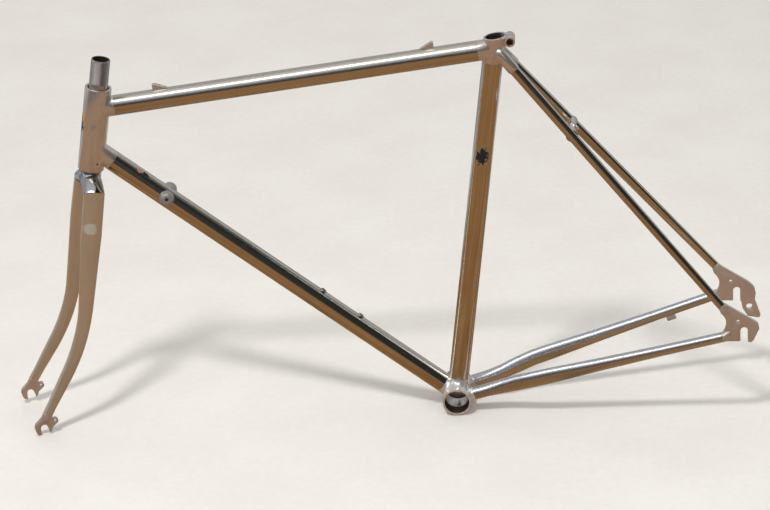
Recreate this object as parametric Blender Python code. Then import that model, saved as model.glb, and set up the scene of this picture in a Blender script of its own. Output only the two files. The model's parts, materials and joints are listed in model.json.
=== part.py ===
"""Bare road bicycle frame with its fork, built from bonded aluminium tube.

Every tube slides over the spigots of a lug, and each lug carries a short collar of the tube's own
diameter, so that the two meet flush at a fine seam. The parts are laid out in riding coordinates:
the origin is the centre of the bottom bracket, +X points forward, +Y to the rider's left and +Z up.
The fork is laid out about the steering axis. Last of all the whole bicycle frame is stood on its
bottom bracket shell and its fork ends, with the bottom centre of its box at the world's origin.
"""

import math

import bmesh
import bpy
import numpy as np
from mathutils import Matrix, Vector

# Overall layout, in metres and degrees.
TOP_TUBE_LENGTH = 0.545       # level distance from the seat tube's axis to the steering axis
TOP_TUBE_HEIGHT = 0.4977      # top tube's axis above the bottom bracket's centre
SEAT_ANGLE = 75.25
HEAD_ANGLE = 72.6
CHAINSTAY_LENGTH = 0.4134
BRACKET_DROP = 0.0676
REAR_SPACING = 0.126
FRONT_SPACING = 0.100
FORK_LENGTH = 0.3710          # from the crown race's foot to the axle, along the steering axis
FORK_RAKE = 0.0468
FORK_TURN = 20.5              # how far the fork is turned to the left as it stands

# Tubes and bonded joints.
GAP = 0.0003                  # clearance of every bonded or fitted face
TUBE_DIAMETER = 0.028
TUBE_WALL = 0.0015
TUBE_SIDES = 32
SMALL_SIDES = 20
SPIGOT_LENGTH = 0.026
SPIGOT_WALL = 0.0035

# Head tube and steerer.
HEAD_DIAMETER = 0.036
HEAD_BORE = 0.0302
HEAD_ABOVE = 0.0305           # head tube above the top tube's axis
HEAD_LENGTH = 0.1185
HEAD_TOP_COLLAR = 0.0273      # steering axis to the top tube's seam
HEAD_DOWN_COLLAR = 0.033      # steering axis to the down tube's seam
DOWN_TUBE_RISE = 0.0305       # down tube's axis above the foot of the head tube, on the steering axis
STEERER_DIAMETER = 0.0254
STEERER_BORE = 0.0222
STEERER_STAND = 0.0402        # steerer above the head tube
RACE_DIAMETER = 0.0305
RACE_HEIGHT = 0.0022

# Bottom bracket shell.
SHELL_DIAMETER = 0.040
SHELL_BORE = 0.0348
SHELL_WIDTH = 0.068
SHELL_COLLAR = 0.025          # bracket centre to the main tubes' seams
SHELL_SIDES = 48
DRAIN_RADIUS = 0.003

# Chainstays.
STAY_WALL = 0.0013
STAY_END_OFFSET = 0.0029      # stay's rear end outboard of the dropout's middle plane
STAY_ROOT_DIAMETER = 0.018
STAY_ROOT_OFFSET = 0.0200     # stay's axis beside the centre line at the bottom bracket
STAY_ROOT_COLLAR = 0.026      # bracket centre to the stay's seam
STAY_ROOT_SPLAY = 0.05
STAY_BEND_START = 0.054       # distances behind the bottom bracket
STAY_BEND_END = 0.112
STAY_BEND_OFFSET = 0.0345
STAY_BEND_LIFT = 0.0028       # how far the bend raises the stay
STAY_TIP_DIAMETER = 0.0140
STAY_SPIGOT = 0.018
CHAINSTAY_TALL = 0.0230       # height and width of the flattened stretch
CHAINSTAY_NARROW = 0.0160
CHAINSTAY_STATIONS = (0.082, 0.135, 0.205, 0.290)  # where the flattened stretch begins, ends and tapers
CHAINSTAY_TAPER = 0.0045      # height lost by the third of those places
CHAINSTAY_LEAN = 10.0         # seam at the dropout, below the level of the axle, in degrees
CHAINSTAY_STEPS = 15
STAY_SIDES = 24

# Seatstays and their bridge.
SEATSTAY_DIAMETER = 0.0140
SEATSTAY_TIP_DIAMETER = 0.0116
SEATSTAY_TOP_OFFSET = 0.0128
SEATSTAY_TOP_SEAM = 0.0384    # from the seat cluster's centre
SEATSTAY_TOP_SETBACK = 0.0026  # stay's axis behind the line from the seat cluster to the axle
SEATSTAY_FOOT_SETBACK = 0.0006
SEATSTAY_TAPER_START = 0.240  # down the stay from its upper seam
SEATSTAY_TAPER_END = 0.360
SEAT_ARM_DIAMETER = 0.0164
SEAT_ARM_NOSE = 0.0080        # length of each arm's rounded upper end
SEAT_ARM_BEVEL = 0.0015
BRIDGE_PLACE = 0.156          # from the seat cluster's centre, down the stays
BRIDGE_DIAMETER = 0.0125
BRIDGE_PAD_DIAMETER = 0.0172
BRIDGE_PAD_LENGTH = 0.013
BRIDGE_BOSS_DIAMETER = 0.0135
BRIDGE_BOSS_LENGTH = 0.0145
BRAKE_BOLT_RADIUS = 0.0033

# Seat lug and its clamp.
SEATPOST_BORE = 0.0250
SEAT_LUG_FOOT = 0.4965        # bottom bracket to the seat tube's top seam
SEAT_LUG_TOP = 0.5144         # height of the lug's level top face
SEAT_LUG_DIAMETER = 0.0288
SEAT_LUG_COLLAR = 0.0215
SEAT_NECK_LENGTH = 0.018      # turned-down neck of the seat tube inside the lug
SEAT_SOCKET_WALL = 0.0009
SEAT_LIP_DIAMETER = 0.0312
SEAT_LIP_HEIGHT = 0.0045
EAR_DIAMETER = 0.0140
EAR_LEFT = 0.0145             # from the middle plane to each ear's outer face
EAR_RIGHT = 0.0115
EAR_SETBACK = 0.0204          # bolt's axis behind the seat tube's axis
CLAMP_SLOT = 0.0020
CLAMP_SLOT_DEPTH = 0.030
BINDER_RADIUS = 0.0030
BINDER_HEAD_RADIUS = 0.0045
BINDER_HEAD_LENGTH = 0.0048
BINDER_SOCKET_RADIUS = 0.0026
BINDER_SOCKET_FLOOR = 0.0015
BINDER_REST = 0.0004          # how far the head and the nut lie below the ears' faces
WEB_HALF_WIDTH = 0.0085       # solid metal between the ears and the barrel

# Dropouts.
DROPOUT_THICKNESS = 0.0065
DROPOUT_SEATSTAY_SEAM = 0.0493  # axle to the seatstay's lower seam
DROPOUT_CHAINSTAY_SEAM = 0.0305
CHAINSTAY_SAG = 0.0050        # chainstay's end below the axle
REAR_SLOT_WIDTH = 0.0102
REAR_SLOT_TILT = 6.0
EYELET_RADIUS = 0.0026
HANGER_HOLE_RADIUS = 0.0048
HANGER_HOLE = (-0.0144, -0.0278)
RECESS_DEPTH = 0.0006
RECESS_MARGIN = 0.0035
TAPER_LENGTH = 0.013          # where a plate swells to meet its stay
REAR_EYELET = (0.0065, 0.0148)
REAR_SLOT_LIPS = (0.0170, 0.0150)  # depth of the slot's rear and front lips below the axle
# Outline of a dropout about its axle, forward and up, in four runs after the slot.
DROPOUT_FRONT = ((0.0090, -0.0146), (0.0255, -0.0120), (0.0280, -0.0025))
DROPOUT_HOLLOW = ((0.0443, 0.0160), 0.0219, 225, 138)  # arc between the stays: centre, radius, angles
DROPOUT_UPPER = ((0.0294, 0.0368), (0.0206, 0.0428), (0.0160, 0.0384), (-0.0170, 0.0104), (-0.0200, 0.0070))
DROPOUT_REAR = ((-0.0206, 0.0005), (-0.0112, -0.0158), (-0.0075, -0.0185), (-0.0040, -0.0180))
HANGER_REAR = ((-0.0250, 0.0000), (-0.0258, -0.0080), (-0.0232, -0.0190), (-0.0285, -0.0430),
               (-0.0262, -0.0468), (-0.0108, -0.0418), (-0.0048, -0.0290), (-0.0042, -0.0180))

# Fork.
CROWN_NECK_RADIUS = 0.0149
CROWN_SHOULDER_DROP = 0.0232  # blade's seam below the crown's top, on the blade's axis
CROWN_SEAM_TILT = 35.0        # outer side of that seam is the higher one
CROWN_MIDDLE_DROP = 0.0122    # middle of the crown's bow below its top
CROWN_HALF_HEIGHT = 0.0120
CROWN_HALF_DEPTH = 0.0142
CROWN_SOCKET_DEPTH = 0.018
CROWN_HOLE_DROP = 0.0115
CROWN_HOLE_RADIUS = 0.0040
BLADE_TOP_OFFSET = 0.0320
BLADE_TOP_DEPTH = 0.0290
BLADE_TOP_WIDTH = 0.0200
BLADE_TIP_DEPTH = 0.0138
BLADE_TIP_WIDTH = 0.0130
BLADE_WALL = 0.0016
# Blade sections between its ends: drop below the crown's top, depth and width lost since the top.
BLADE_TAPER = ((0.085, 0.0, 0.0), (0.130, 0.0038, 0.0010), (0.205, 0.0095, 0.0030), (0.252, 0.0104, 0.0040),
               (0.300, 0.0116, 0.0056))
BLADE_SPIGOT = 0.030
BLADE_END = 0.0205            # axle to the blade's lower seam, along the steering axis
BEND_START = 0.188            # below the crown's top, along the steering axis
BEND_END = 0.292
AXLE_SETBACK = 0.0044         # axle behind the blade's axis
FORK_END_THICKNESS = 0.0060
FRONT_SLOT_WIDTH = 0.0098
FRONT_SLOT_MOUTH = 0.0122
FRONT_SLOT_TILT = -17.0
FORK_END_RADIUS = 0.0128
FORK_EYELET = (-0.0147, 0.0109)
FORK_EYELET_OUTER = 0.0043
FRONT_SLOT_LIPS = (0.0062, 0.0102)
FORK_END_NECK = ((0.0083, 0.0096), (0.0046, 0.0150), (0.0024, 0.0206), (-0.0098, 0.0160))
FORK_END_CHIN = ((-0.0102, -0.0066), (-0.0086, -0.0070))

# Small fittings.
SHIFT_BOSS_PLACE = 0.497      # bottom bracket to the shift bosses, along the down tube
SHIFT_BOSS_RAISE = 15.0
SHIFT_BOSS_RADIUS = 0.0105
SHIFT_BOSS_HEIGHT = 0.0115
SHIFT_BOSS_THREAD = 0.0025
SHIFT_BOSS_FOOT = 0.0040      # heights above the down tube's axis, and the flat nose's radius
SHIFT_BOSS_STEP = 0.0155
SHIFT_BOSS_NOSE = 0.0048
BOTTLE_BOSS_PLACE = 0.178
BOTTLE_BOSS_SPACING = 0.064
BOTTLE_FLANGE_RADIUS = 0.0047
BOTTLE_FLANGE_HEIGHT = 0.0013
BOTTLE_BODY_RADIUS = 0.0034
BOTTLE_BODY_LENGTH = 0.0085
BOTTLE_THREAD_RADIUS = 0.0024
TOP_STOP_LENGTH = 0.019
TOP_STOP_HEIGHT = 0.0080
TOP_STOP_WIDTH = 0.0070
TOP_STOP_REAR = 0.052         # rear stop's mouth behind the bottom bracket
TOP_STOP_FRONT = 0.082        # front stop's mouth behind the steering axis
HOUSING_RADIUS = 0.0026
TOP_STOP_NOSE = 0.0035        # level stretch behind the mouth, and the height of the ramp's toe
TOP_STOP_TOE = 0.0006
CABLE_DROP = 0.0042           # cable's line below the stop's top
HOUSING_DEPTH = 0.0070
CABLE_RADIUS = 0.0011
KEYWAY_WIDTH = 0.0030
KEYWAY_DEPTH = 0.0050
REACH = 0.03                  # how far a cutter runs past what it cuts
STAY_STOP_PLACE = 0.096       # from the rear axle, forward
STAY_STOP_LENGTH = 0.013
STAY_STOP_RADIUS = 0.0038

ALUMINIUM = (0.82, 0.80, 0.77, 1.0)
CAST_ALUMINIUM = (0.74, 0.71, 0.67, 1.0)
CHROME = (0.80, 0.80, 0.82, 1.0)
STEEL = (0.42, 0.41, 0.40, 1.0)
DARK_STEEL = (0.16, 0.16, 0.17, 1.0)

LEFT = 1
RIGHT = -1
SIDES = (("left", LEFT), ("right", RIGHT))
ACROSS = Vector((0.0, 1.0, 0.0))


def clear_scene():
    """Remove every object of the startup scene."""
    for obj in list(bpy.data.objects):
        bpy.data.objects.remove(obj)


def metal(name, colour, roughness):
    """Return a plain metal material, made once and then reused."""
    material = bpy.data.materials.get(name)
    if material is None:
        material = bpy.data.materials.new(name)
        material.use_nodes = True
        shader = material.node_tree.nodes["Principled BSDF"]
        shader.inputs["Base Color"].default_value = colour
        shader.inputs["Metallic"].default_value = 1.0
        shader.inputs["Roughness"].default_value = roughness
    return material


# ---------------------------------------------------------------- layout


def rake_direction(angle):
    """Upward direction, in the middle plane, of a tube at this angle above the rearward level."""
    return Vector((-math.cos(math.radians(angle)), 0.0, math.sin(math.radians(angle))))


SEAT_UP = rake_direction(SEAT_ANGLE)
HEAD_UP = rake_direction(HEAD_ANGLE)
SEAT_NODE = SEAT_UP * (TOP_TUBE_HEIGHT / SEAT_UP.z)
HEAD_NODE = SEAT_NODE + Vector((TOP_TUBE_LENGTH, 0.0, 0.0))
HEAD_TOP = HEAD_NODE + HEAD_UP * HEAD_ABOVE
HEAD_FOOT = HEAD_TOP - HEAD_UP * HEAD_LENGTH
DOWN_NODE = HEAD_FOOT + HEAD_UP * DOWN_TUBE_RISE
DOWN_UP = DOWN_NODE.normalized()
REAR_AXLE = Vector((-math.sqrt(CHAINSTAY_LENGTH ** 2 - BRACKET_DROP ** 2), 0.0, BRACKET_DROP))
CROWN_TOP = RACE_HEIGHT + 2 * GAP  # below the head tube's foot
DROPOUT_MIDDLE = (REAR_SPACING + DROPOUT_THICKNESS) / 2
STAY_END = DROPOUT_MIDDLE + STAY_END_OFFSET
FORK_END_MIDDLE = (FRONT_SPACING + FORK_END_THICKNESS) / 2


def placed(origin, along, hint=ACROSS):
    """Matrix with its origin at origin, +Z along the direction and +X as near to hint as it can be."""
    z = along.normalized()
    x = (hint - z * hint.dot(z)).normalized()
    return Matrix.Translation(origin) @ Matrix((x, z.cross(x), z)).transposed().to_4x4()


def chainstay_end(side):
    """Centre of a chainstay's rear seam."""
    ahead = DROPOUT_CHAINSTAY_SEAM * math.cos(math.radians(CHAINSTAY_LEAN))
    return REAR_AXLE + Vector((ahead, side * STAY_END, -CHAINSTAY_SAG))


def chainstay_point(side, behind):
    """Point on a chainstay's axis at this distance behind the bottom bracket."""
    end = chainstay_end(side)
    slope = (end.z - STAY_BEND_LIFT) / -end.x
    inner = STAY_ROOT_OFFSET + STAY_ROOT_SPLAY * (behind - STAY_ROOT_COLLAR)
    run = (behind - STAY_BEND_END) / (-end.x - STAY_BEND_END)
    outer = STAY_BEND_OFFSET + (STAY_END - STAY_BEND_OFFSET) * run
    mix = min(max((behind - STAY_BEND_START) / (STAY_BEND_END - STAY_BEND_START), 0.0), 1.0)
    blend = mix * mix * (3 - 2 * mix)
    height = behind * slope + STAY_BEND_LIFT * blend
    return Vector((-behind, side * (inner + (outer - inner) * blend), height))


def seatstay_ends(side):
    """Upper and lower seam centres of a seatstay."""
    down = (REAR_AXLE - SEAT_NODE).normalized()
    back = ACROSS.cross(down)
    top = SEAT_NODE + down * SEATSTAY_TOP_SEAM + back * SEATSTAY_TOP_SETBACK
    foot = REAR_AXLE - down * DROPOUT_SEATSTAY_SEAM + back * SEATSTAY_FOOT_SETBACK
    return top + ACROSS * side * SEATSTAY_TOP_OFFSET, foot + ACROSS * side * STAY_END


def blade_slope():
    """Forward drift of the blade's straight lower end for each unit down the steering axis."""
    return (FORK_RAKE + AXLE_SETBACK) / ((BEND_START + BEND_END) / -2 + FORK_LENGTH)


def blade_point(side, drop):
    """Point on a blade's axis, in the fork's own coordinates, this far below the crown's top."""
    slope = blade_slope()
    bend = min(max(drop - BEND_START, 0.0), BEND_END - BEND_START)
    forward = slope * (bend ** 2 / (2 * (BEND_END - BEND_START)) + max(drop - BEND_END, 0.0))
    end = FORK_LENGTH - BLADE_END
    run = (drop - CROWN_SHOULDER_DROP) / (end - CROWN_SHOULDER_DROP)
    across = BLADE_TOP_OFFSET + (FORK_END_MIDDLE - BLADE_TOP_OFFSET) * run
    return Vector((forward, side * across, -CROWN_TOP - drop))


# ---------------------------------------------------------------- shapes


def finish(name, bm, material, parent=None):
    """Make an object from a bmesh, with smooth round faces, and put it in the scene."""
    bmesh.ops.recalc_face_normals(bm, faces=bm.faces)
    mesh = bpy.data.meshes.new(name)
    bm.to_mesh(mesh)
    bm.free()
    mesh.shade_smooth()
    mesh.set_sharp_from_angle(angle=math.radians(30))
    mesh.materials.append(material)
    obj = bpy.data.objects.new(name, mesh)
    bpy.context.scene.collection.objects.link(obj)
    obj.parent = parent
    return obj


def helper(obj):
    """Keep a cutter or an added shape out of the render."""
    obj.hide_render = True
    obj.display_type = "WIRE"
    return obj


def ring(bm, place, across, deep, height, sides):
    """Vertices of an ellipse in the local XY plane of place, at this height."""
    turns = np.linspace(0, 2 * math.pi, sides, endpoint=False)
    points = [Vector((across * math.cos(t), deep * math.sin(t), height)) for t in turns]
    return [bm.verts.new(place @ point) for point in points]


def skin(bm, low, high):
    """Faces between two rings with the same number of vertices."""
    count = len(low)
    for i in range(count):
        j = (i + 1) % count
        bm.faces.new((low[i], low[j], high[j], high[i]))


def turned(name, place, profile, sides, material, parent=None):
    """Turn a closed profile of (radius, height) points about the local Z axis; no radius is zero."""
    bm = bmesh.new()
    rings = [ring(bm, place, radius, radius, height, sides) for radius, height in profile]
    for low, high in zip(rings, rings[1:] + rings[:1]):
        skin(bm, low, high)
    return finish(name, bm, material, parent)


def lofted(name, place, sections, sides, material, parent=None):
    """Solid through elliptical sections: height, half width, half depth and an optional shift along X."""
    bm = bmesh.new()
    rings = []
    for height, wide, deep, *shift in sections:
        centre = place @ Matrix.Translation((sum(shift), 0.0, 0.0))
        rings.append(ring(bm, centre, wide, deep, height, sides))
    for low, high in zip(rings, rings[1:]):
        skin(bm, low, high)
    bm.faces.new(rings[0])
    bm.faces.new(rings[-1])
    return finish(name, bm, material, parent)


def rod(name, place, radius, low, high, sides=TUBE_SIDES, material=None, parent=None):
    """Plain cylinder along the local Z axis from low to high."""
    sections = ((low, radius, radius), (high, radius, radius))
    return lofted(name, place, sections, sides, material or metal("helper", STEEL, 0.5), parent)


def block(name, place, low, high, material=None, parent=None):
    """Box between two corners in place's coordinates."""
    bm = bmesh.new()
    bmesh.ops.create_cube(bm, size=1.0)
    size = [b - a for a, b in zip(low, high)]
    middle = Vector([(a + b) / 2 for a, b in zip(low, high)])
    matrix = place @ Matrix.Translation(middle) @ Matrix.Diagonal((*size, 1.0))
    bmesh.ops.transform(bm, matrix=matrix, verts=bm.verts)
    return finish(name, bm, material or metal("helper", STEEL, 0.5), parent)


def tube(name, places, outer, inner, sides, material, parent=None):
    """Hollow tube through a list of places, with (half width, half depth) pairs for each of its skins."""
    bm = bmesh.new()
    skins = []
    for sizes in (outer, inner):
        rings = [ring(bm, place, *halves, 0.0, sides) for place, halves in zip(places, sizes)]
        for low, high in zip(rings, rings[1:]):
            skin(bm, low, high)
        skins.append(rings)
    for end in (0, -1):
        skin(bm, skins[0][end], skins[1][end])
    return finish(name, bm, material, parent)


def plate(name, place, outline, low, high, material, parent=None):
    """Extrude an outline, given in the local XY plane, from low to high along Z."""
    bm = bmesh.new()
    foot = [bm.verts.new(place @ Vector((x, y, low))) for x, y in outline]
    top = [bm.verts.new(place @ Vector((x, y, high))) for x, y in outline]
    skin(bm, foot, top)
    bm.faces.new(foot)
    bm.faces.new(top)
    return finish(name, bm, material, parent)


def arc(centre, radius, start, end, steps=8):
    """Points on an arc about centre, from the start angle to the end angle in degrees."""
    turns = np.radians(np.linspace(start, end, steps))
    return [(centre[0] + radius * math.cos(t), centre[1] + radius * math.sin(t)) for t in turns]


def combine(obj, other, operation):
    """Add or cut a helper shape with an exact Boolean."""
    modifier = obj.modifiers.new(operation.lower() + " " + other.name, "BOOLEAN")
    modifier.operation = operation
    modifier.solver = "EXACT"
    modifier.object = helper(other)


def add(obj, *others):
    """Join helper shapes to an object."""
    for other in others:
        combine(obj, other, "UNION")


def cut(obj, *others):
    """Take helper shapes away from an object."""
    for other in others:
        combine(obj, other, "DIFFERENCE")


def spigot_radius(diameter=TUBE_DIAMETER, wall=TUBE_WALL):
    """Radius of the spigot that fits a round tube."""
    return diameter / 2 - wall - GAP


def stub(name, place, seam, diameter, spigot, length, parent=None):
    """Helper for a lug's collar and spigot: a stepped rod from the local origin out past the seam."""
    sections = ((0.0, diameter / 2, diameter / 2), (seam, diameter / 2, diameter / 2))
    collar = lofted(name + " collar", place, sections, TUBE_SIDES, metal("helper", STEEL, 0.5), parent)
    pin = rod(name + " spigot", place, spigot, seam / 2, seam + length, parent=parent)
    return collar, pin


# ---------------------------------------------------------------- main frame


def build_head_tube(root):
    """Head tube with the two bonded joints of the main tubes."""
    cast = metal("cast aluminium", CAST_ALUMINIUM, 0.28)
    place = placed(HEAD_FOOT, HEAD_UP)
    obj = rod("head_tube", place, HEAD_DIAMETER / 2, 0.0, HEAD_LENGTH, SHELL_SIDES, cast, root)
    top = placed(HEAD_NODE, Vector((-1.0, 0.0, 0.0)))
    down = placed(DOWN_NODE, -DOWN_UP)
    radius = spigot_radius()
    add(obj, *stub("head top", top, HEAD_TOP_COLLAR, TUBE_DIAMETER, radius, SPIGOT_LENGTH, root))
    add(obj, *stub("head down", down, HEAD_DOWN_COLLAR, TUBE_DIAMETER, radius, SPIGOT_LENGTH, root))
    bore = rod("head bore", place, HEAD_BORE / 2, -0.01, HEAD_LENGTH + 0.01, SHELL_SIDES, parent=root)
    hollow = radius - SPIGOT_WALL
    reach = HEAD_TOP_COLLAR + SPIGOT_LENGTH + 0.01
    top_hollow = rod("head top hollow", top, hollow, 0.0, reach, parent=root)
    reach = HEAD_DOWN_COLLAR + SPIGOT_LENGTH + 0.01
    down_hollow = rod("head down hollow", down, hollow, 0.0, reach, parent=root)
    cut(obj, bore, top_hollow, down_hollow)
    return obj


def straight_tube(name, start, end, root):
    """Round main tube between two seams."""
    place = placed(start, end - start)
    length = (end - start).length
    outer = TUBE_DIAMETER / 2
    inner = outer - TUBE_WALL
    profile = ((outer, 0.0), (outer, length), (inner, length), (inner, 0.0))
    return turned(name, place, profile, TUBE_SIDES, metal("aluminium tube", ALUMINIUM, 0.16), root)


def build_top_tube(root):
    """Top tube between the head tube and the seat lug."""
    rear = SEAT_NODE + Vector((SEAT_LUG_COLLAR + GAP, 0.0, 0.0))
    front = HEAD_NODE - Vector((HEAD_TOP_COLLAR + GAP, 0.0, 0.0))
    return straight_tube("top_tube", rear, front, root)


def down_tube_top(distance, raise_angle):
    """Matrix on the down tube's axis at a distance, with +Z out of the tube at an angle above level left."""
    up = DOWN_UP.cross(ACROSS)
    if up.z < 0:
        up = -up
    turn = math.radians(raise_angle)
    return placed(DOWN_UP * distance, ACROSS * math.cos(turn) + up * math.sin(turn), DOWN_UP)


def build_down_tube(root):
    """Down tube, with a hole for each bottle boss."""
    start = DOWN_UP * (SHELL_COLLAR + GAP)
    end = DOWN_NODE - DOWN_UP * (HEAD_DOWN_COLLAR + GAP)
    obj = straight_tube("down_tube", start, end, root)
    for i, place in enumerate(bottle_places()):
        low, high = 0.6 * TUBE_DIAMETER / 2, TUBE_DIAMETER
        hole = rod("bottle hole %d" % i, place, BOTTLE_BODY_RADIUS + GAP, low, high, SMALL_SIDES, parent=root)
        cut(obj, hole)
    return obj


def build_seat_tube(root):
    """Seat tube, whose turned-down neck goes up inside the seat lug."""
    place = placed(Vector(), SEAT_UP)
    outer = TUBE_DIAMETER / 2
    inner = SEATPOST_BORE / 2
    neck = SEAT_LUG_DIAMETER / 2 - SEAT_SOCKET_WALL - GAP
    foot = SHELL_COLLAR + GAP
    shoulder = SEAT_LUG_FOOT - GAP
    top = SEAT_LUG_FOOT + SEAT_NECK_LENGTH
    profile = ((outer, foot), (outer, shoulder), (neck, shoulder), (neck, top), (inner, top),
               (inner, foot))
    return turned("seat_tube", place, profile, TUBE_SIDES, metal("aluminium tube", ALUMINIUM, 0.16), root)


def build_bottom_bracket_shell(root):
    """Bottom bracket shell with spigots for two main tubes and two chainstays."""
    cast = metal("cast aluminium", CAST_ALUMINIUM, 0.28)
    place = placed(Vector(), ACROSS, Vector((1.0, 0.0, 0.0)))
    half = SHELL_WIDTH / 2
    obj = rod("bottom_bracket_shell", place, SHELL_DIAMETER / 2, -half, half, SHELL_SIDES, cast, root)
    hollows = []
    seat_radius = SEATPOST_BORE / 2 - GAP
    mains = (("shell seat", SEAT_UP, seat_radius), ("shell down", DOWN_UP, spigot_radius()))
    for name, along, radius in mains:
        axis = placed(Vector(), along)
        add(obj, *stub(name, axis, SHELL_COLLAR, TUBE_DIAMETER, radius, SPIGOT_LENGTH, root))
        reach = SHELL_COLLAR + SPIGOT_LENGTH + 0.01
        hollows.append(rod(name + " hollow", axis, radius - SPIGOT_WALL, 0.0, reach, parent=root))
    for name, side in SIDES:
        axis = chainstay_root(side)
        radius = spigot_radius(STAY_ROOT_DIAMETER, STAY_WALL)
        seam, wide = STAY_ROOT_COLLAR, STAY_ROOT_DIAMETER
        add(obj, *stub("shell stay " + name, axis, seam, wide, radius, STAY_SPIGOT, root))
        reach = STAY_ROOT_COLLAR + STAY_SPIGOT + 0.01
        hollow = radius - SPIGOT_WALL
        hollows.append(rod("stay hollow " + name, axis, hollow, 0.0, reach, SMALL_SIDES, parent=root))
    bore = rod("shell bore", place, SHELL_BORE / 2, -half - 0.01, half + 0.01, SHELL_SIDES, parent=root)
    drain_place = placed(Vector((0.0, 0.012, 0.0)), Vector((0.0, 0.0, -1.0)))
    drain = rod("shell drain", drain_place, DRAIN_RADIUS, 0.0, SHELL_DIAMETER, SMALL_SIDES, parent=root)
    cut(obj, bore, drain, *hollows)
    return obj


# ---------------------------------------------------------------- rear triangle


def chainstay_root(side):
    """Matrix at the bottom bracket with +Z along the first, straight stretch of a chainstay."""
    seam = chainstay_point(side, STAY_ROOT_COLLAR)
    ahead = chainstay_point(side, STAY_ROOT_COLLAR + 0.01)
    along = (ahead - seam).normalized()
    return placed(seam - along * STAY_ROOT_COLLAR, along)


def chainstay_section(behind):
    """Half width and half height of a chainstay at this distance behind the bottom bracket."""
    last = -chainstay_end(LEFT).x
    straight = STAY_ROOT_COLLAR + STAY_SPIGOT
    stations = (STAY_ROOT_COLLAR, straight, *CHAINSTAY_STATIONS, last - STAY_SPIGOT, last)
    root = STAY_ROOT_DIAMETER
    tip = STAY_TIP_DIAMETER
    tapered = CHAINSTAY_TALL - CHAINSTAY_TAPER
    heights = (root, root, CHAINSTAY_TALL, CHAINSTAY_TALL, tapered, tip + 0.0010, tip, tip)
    widths = (root, root, CHAINSTAY_NARROW, CHAINSTAY_NARROW, CHAINSTAY_NARROW, tip + 0.0005, tip, tip)
    return float(np.interp(behind, stations, widths)) / 2, float(np.interp(behind, stations, heights)) / 2


def chainstay_tip(side):
    """Matrix at a chainstay's rear seam with +Z forward along its last, straight stretch."""
    end = chainstay_end(side)
    return placed(end, chainstay_point(side, -end.x - 0.05) - end)


def chainstay_places(side):
    """Distances behind the bottom bracket and the matrices there, with +Z to the rear."""
    root = chainstay_root(side)
    tip = chainstay_tip(side)
    last = -chainstay_end(side).x
    straight = STAY_ROOT_COLLAR + STAY_SPIGOT
    stations = [STAY_ROOT_COLLAR, *np.linspace(straight, last - STAY_SPIGOT, CHAINSTAY_STEPS), last]
    places = []
    for behind in stations:
        along = chainstay_point(side, behind + 0.002) - chainstay_point(side, behind - 0.002)
        places.append(placed(chainstay_point(side, behind), along))
    # Both ends are straight, so that they fit their spigots.
    turn = Matrix.Rotation(math.pi, 4, "X")
    places[0] = root @ Matrix.Translation((0.0, 0.0, STAY_ROOT_COLLAR + GAP))
    places[1] = root @ Matrix.Translation((0.0, 0.0, straight))
    places[-2] = tip @ Matrix.Translation((0.0, 0.0, STAY_SPIGOT)) @ turn
    places[-1] = tip @ Matrix.Translation((0.0, 0.0, GAP)) @ turn
    return stations, places


def build_chainstay(name, side, root):
    """Chainstay: round at its seams, tall and narrow behind the bottom bracket."""
    stations, places = chainstay_places(side)
    outer = [chainstay_section(behind) for behind in stations]
    inner = [(wide - STAY_WALL, tall - STAY_WALL) for wide, tall in outer]
    material = metal("aluminium tube", ALUMINIUM, 0.16)
    return tube("chainstay_" + name, places, outer, inner, STAY_SIDES, material, root)


def seatstay_place(side):
    """Matrix at a seatstay's upper seam with +Z down along the stay, and the stay's length."""
    top, foot = seatstay_ends(side)
    return placed(top, foot - top), (foot - top).length


def build_seatstay(name, side, root):
    """Straight seatstay with a slight taper to its dropout."""
    place, length = seatstay_place(side)
    stations = (GAP, STAY_SPIGOT, SEATSTAY_TAPER_START, SEATSTAY_TAPER_END, length - GAP)
    diameters = [SEATSTAY_DIAMETER] * 3 + [SEATSTAY_TIP_DIAMETER] * 2
    places = [place @ Matrix.Translation((0.0, 0.0, height)) for height in stations]
    outer = [(d / 2, d / 2) for d in diameters]
    inner = [(d / 2 - STAY_WALL, d / 2 - STAY_WALL) for d in diameters]
    material = metal("aluminium tube", ALUMINIUM, 0.16)
    return tube("seatstay_" + name, places, outer, inner, STAY_SIDES, material, root)


def build_brake_bridge(root):
    """Brake bridge: a cross tube that flares to a pad against each seatstay, with a bolt boss."""
    cast = metal("cast aluminium", CAST_ALUMINIUM, 0.28)
    along = BRIDGE_PLACE - SEATSTAY_TOP_SEAM
    left, right = [seatstay_place(side)[0] @ Vector((0.0, 0.0, along)) for _, side in SIDES]
    down = (REAR_AXLE - SEAT_NODE).normalized()
    cross = placed(left, right - left, down)
    length = (right - left).length
    pad = BRIDGE_PAD_DIAMETER / 2
    bar = BRIDGE_DIAMETER / 2
    sections = ((0.0, pad, pad), (BRIDGE_PAD_LENGTH, bar, bar), (length - BRIDGE_PAD_LENGTH, bar, bar),
                (length, pad, pad))
    obj = lofted("brake_bridge", cross, sections, 32, cast, root)
    boss = placed((left + right) / 2, ACROSS.cross(down))
    half = BRIDGE_BOSS_LENGTH / 2
    add(obj, rod("bridge boss", boss, BRIDGE_BOSS_DIAMETER / 2, -half, half, 32, parent=root))
    for name, side in SIDES:
        place, _ = seatstay_place(side)
        radius = SEATSTAY_DIAMETER / 2 + GAP
        low, high = along - REACH, along + REACH
        cut(obj, rod("bridge stay " + name, place, radius, low, high, STAY_SIDES, parent=root))
    cut(obj, rod("bridge bolt hole", boss, BRAKE_BOLT_RADIUS, -REACH, REACH, SMALL_SIDES, parent=root))
    return obj


def plate_place(offset, axle):
    """Matrix this far to the left of an axle's middle, with +X forward, +Y up and +Z to the left."""
    return Matrix.Translation(axle + ACROSS * offset) @ Matrix(((1, 0, 0), (0, 0, 1), (0, 1, 0))).to_4x4()


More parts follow.
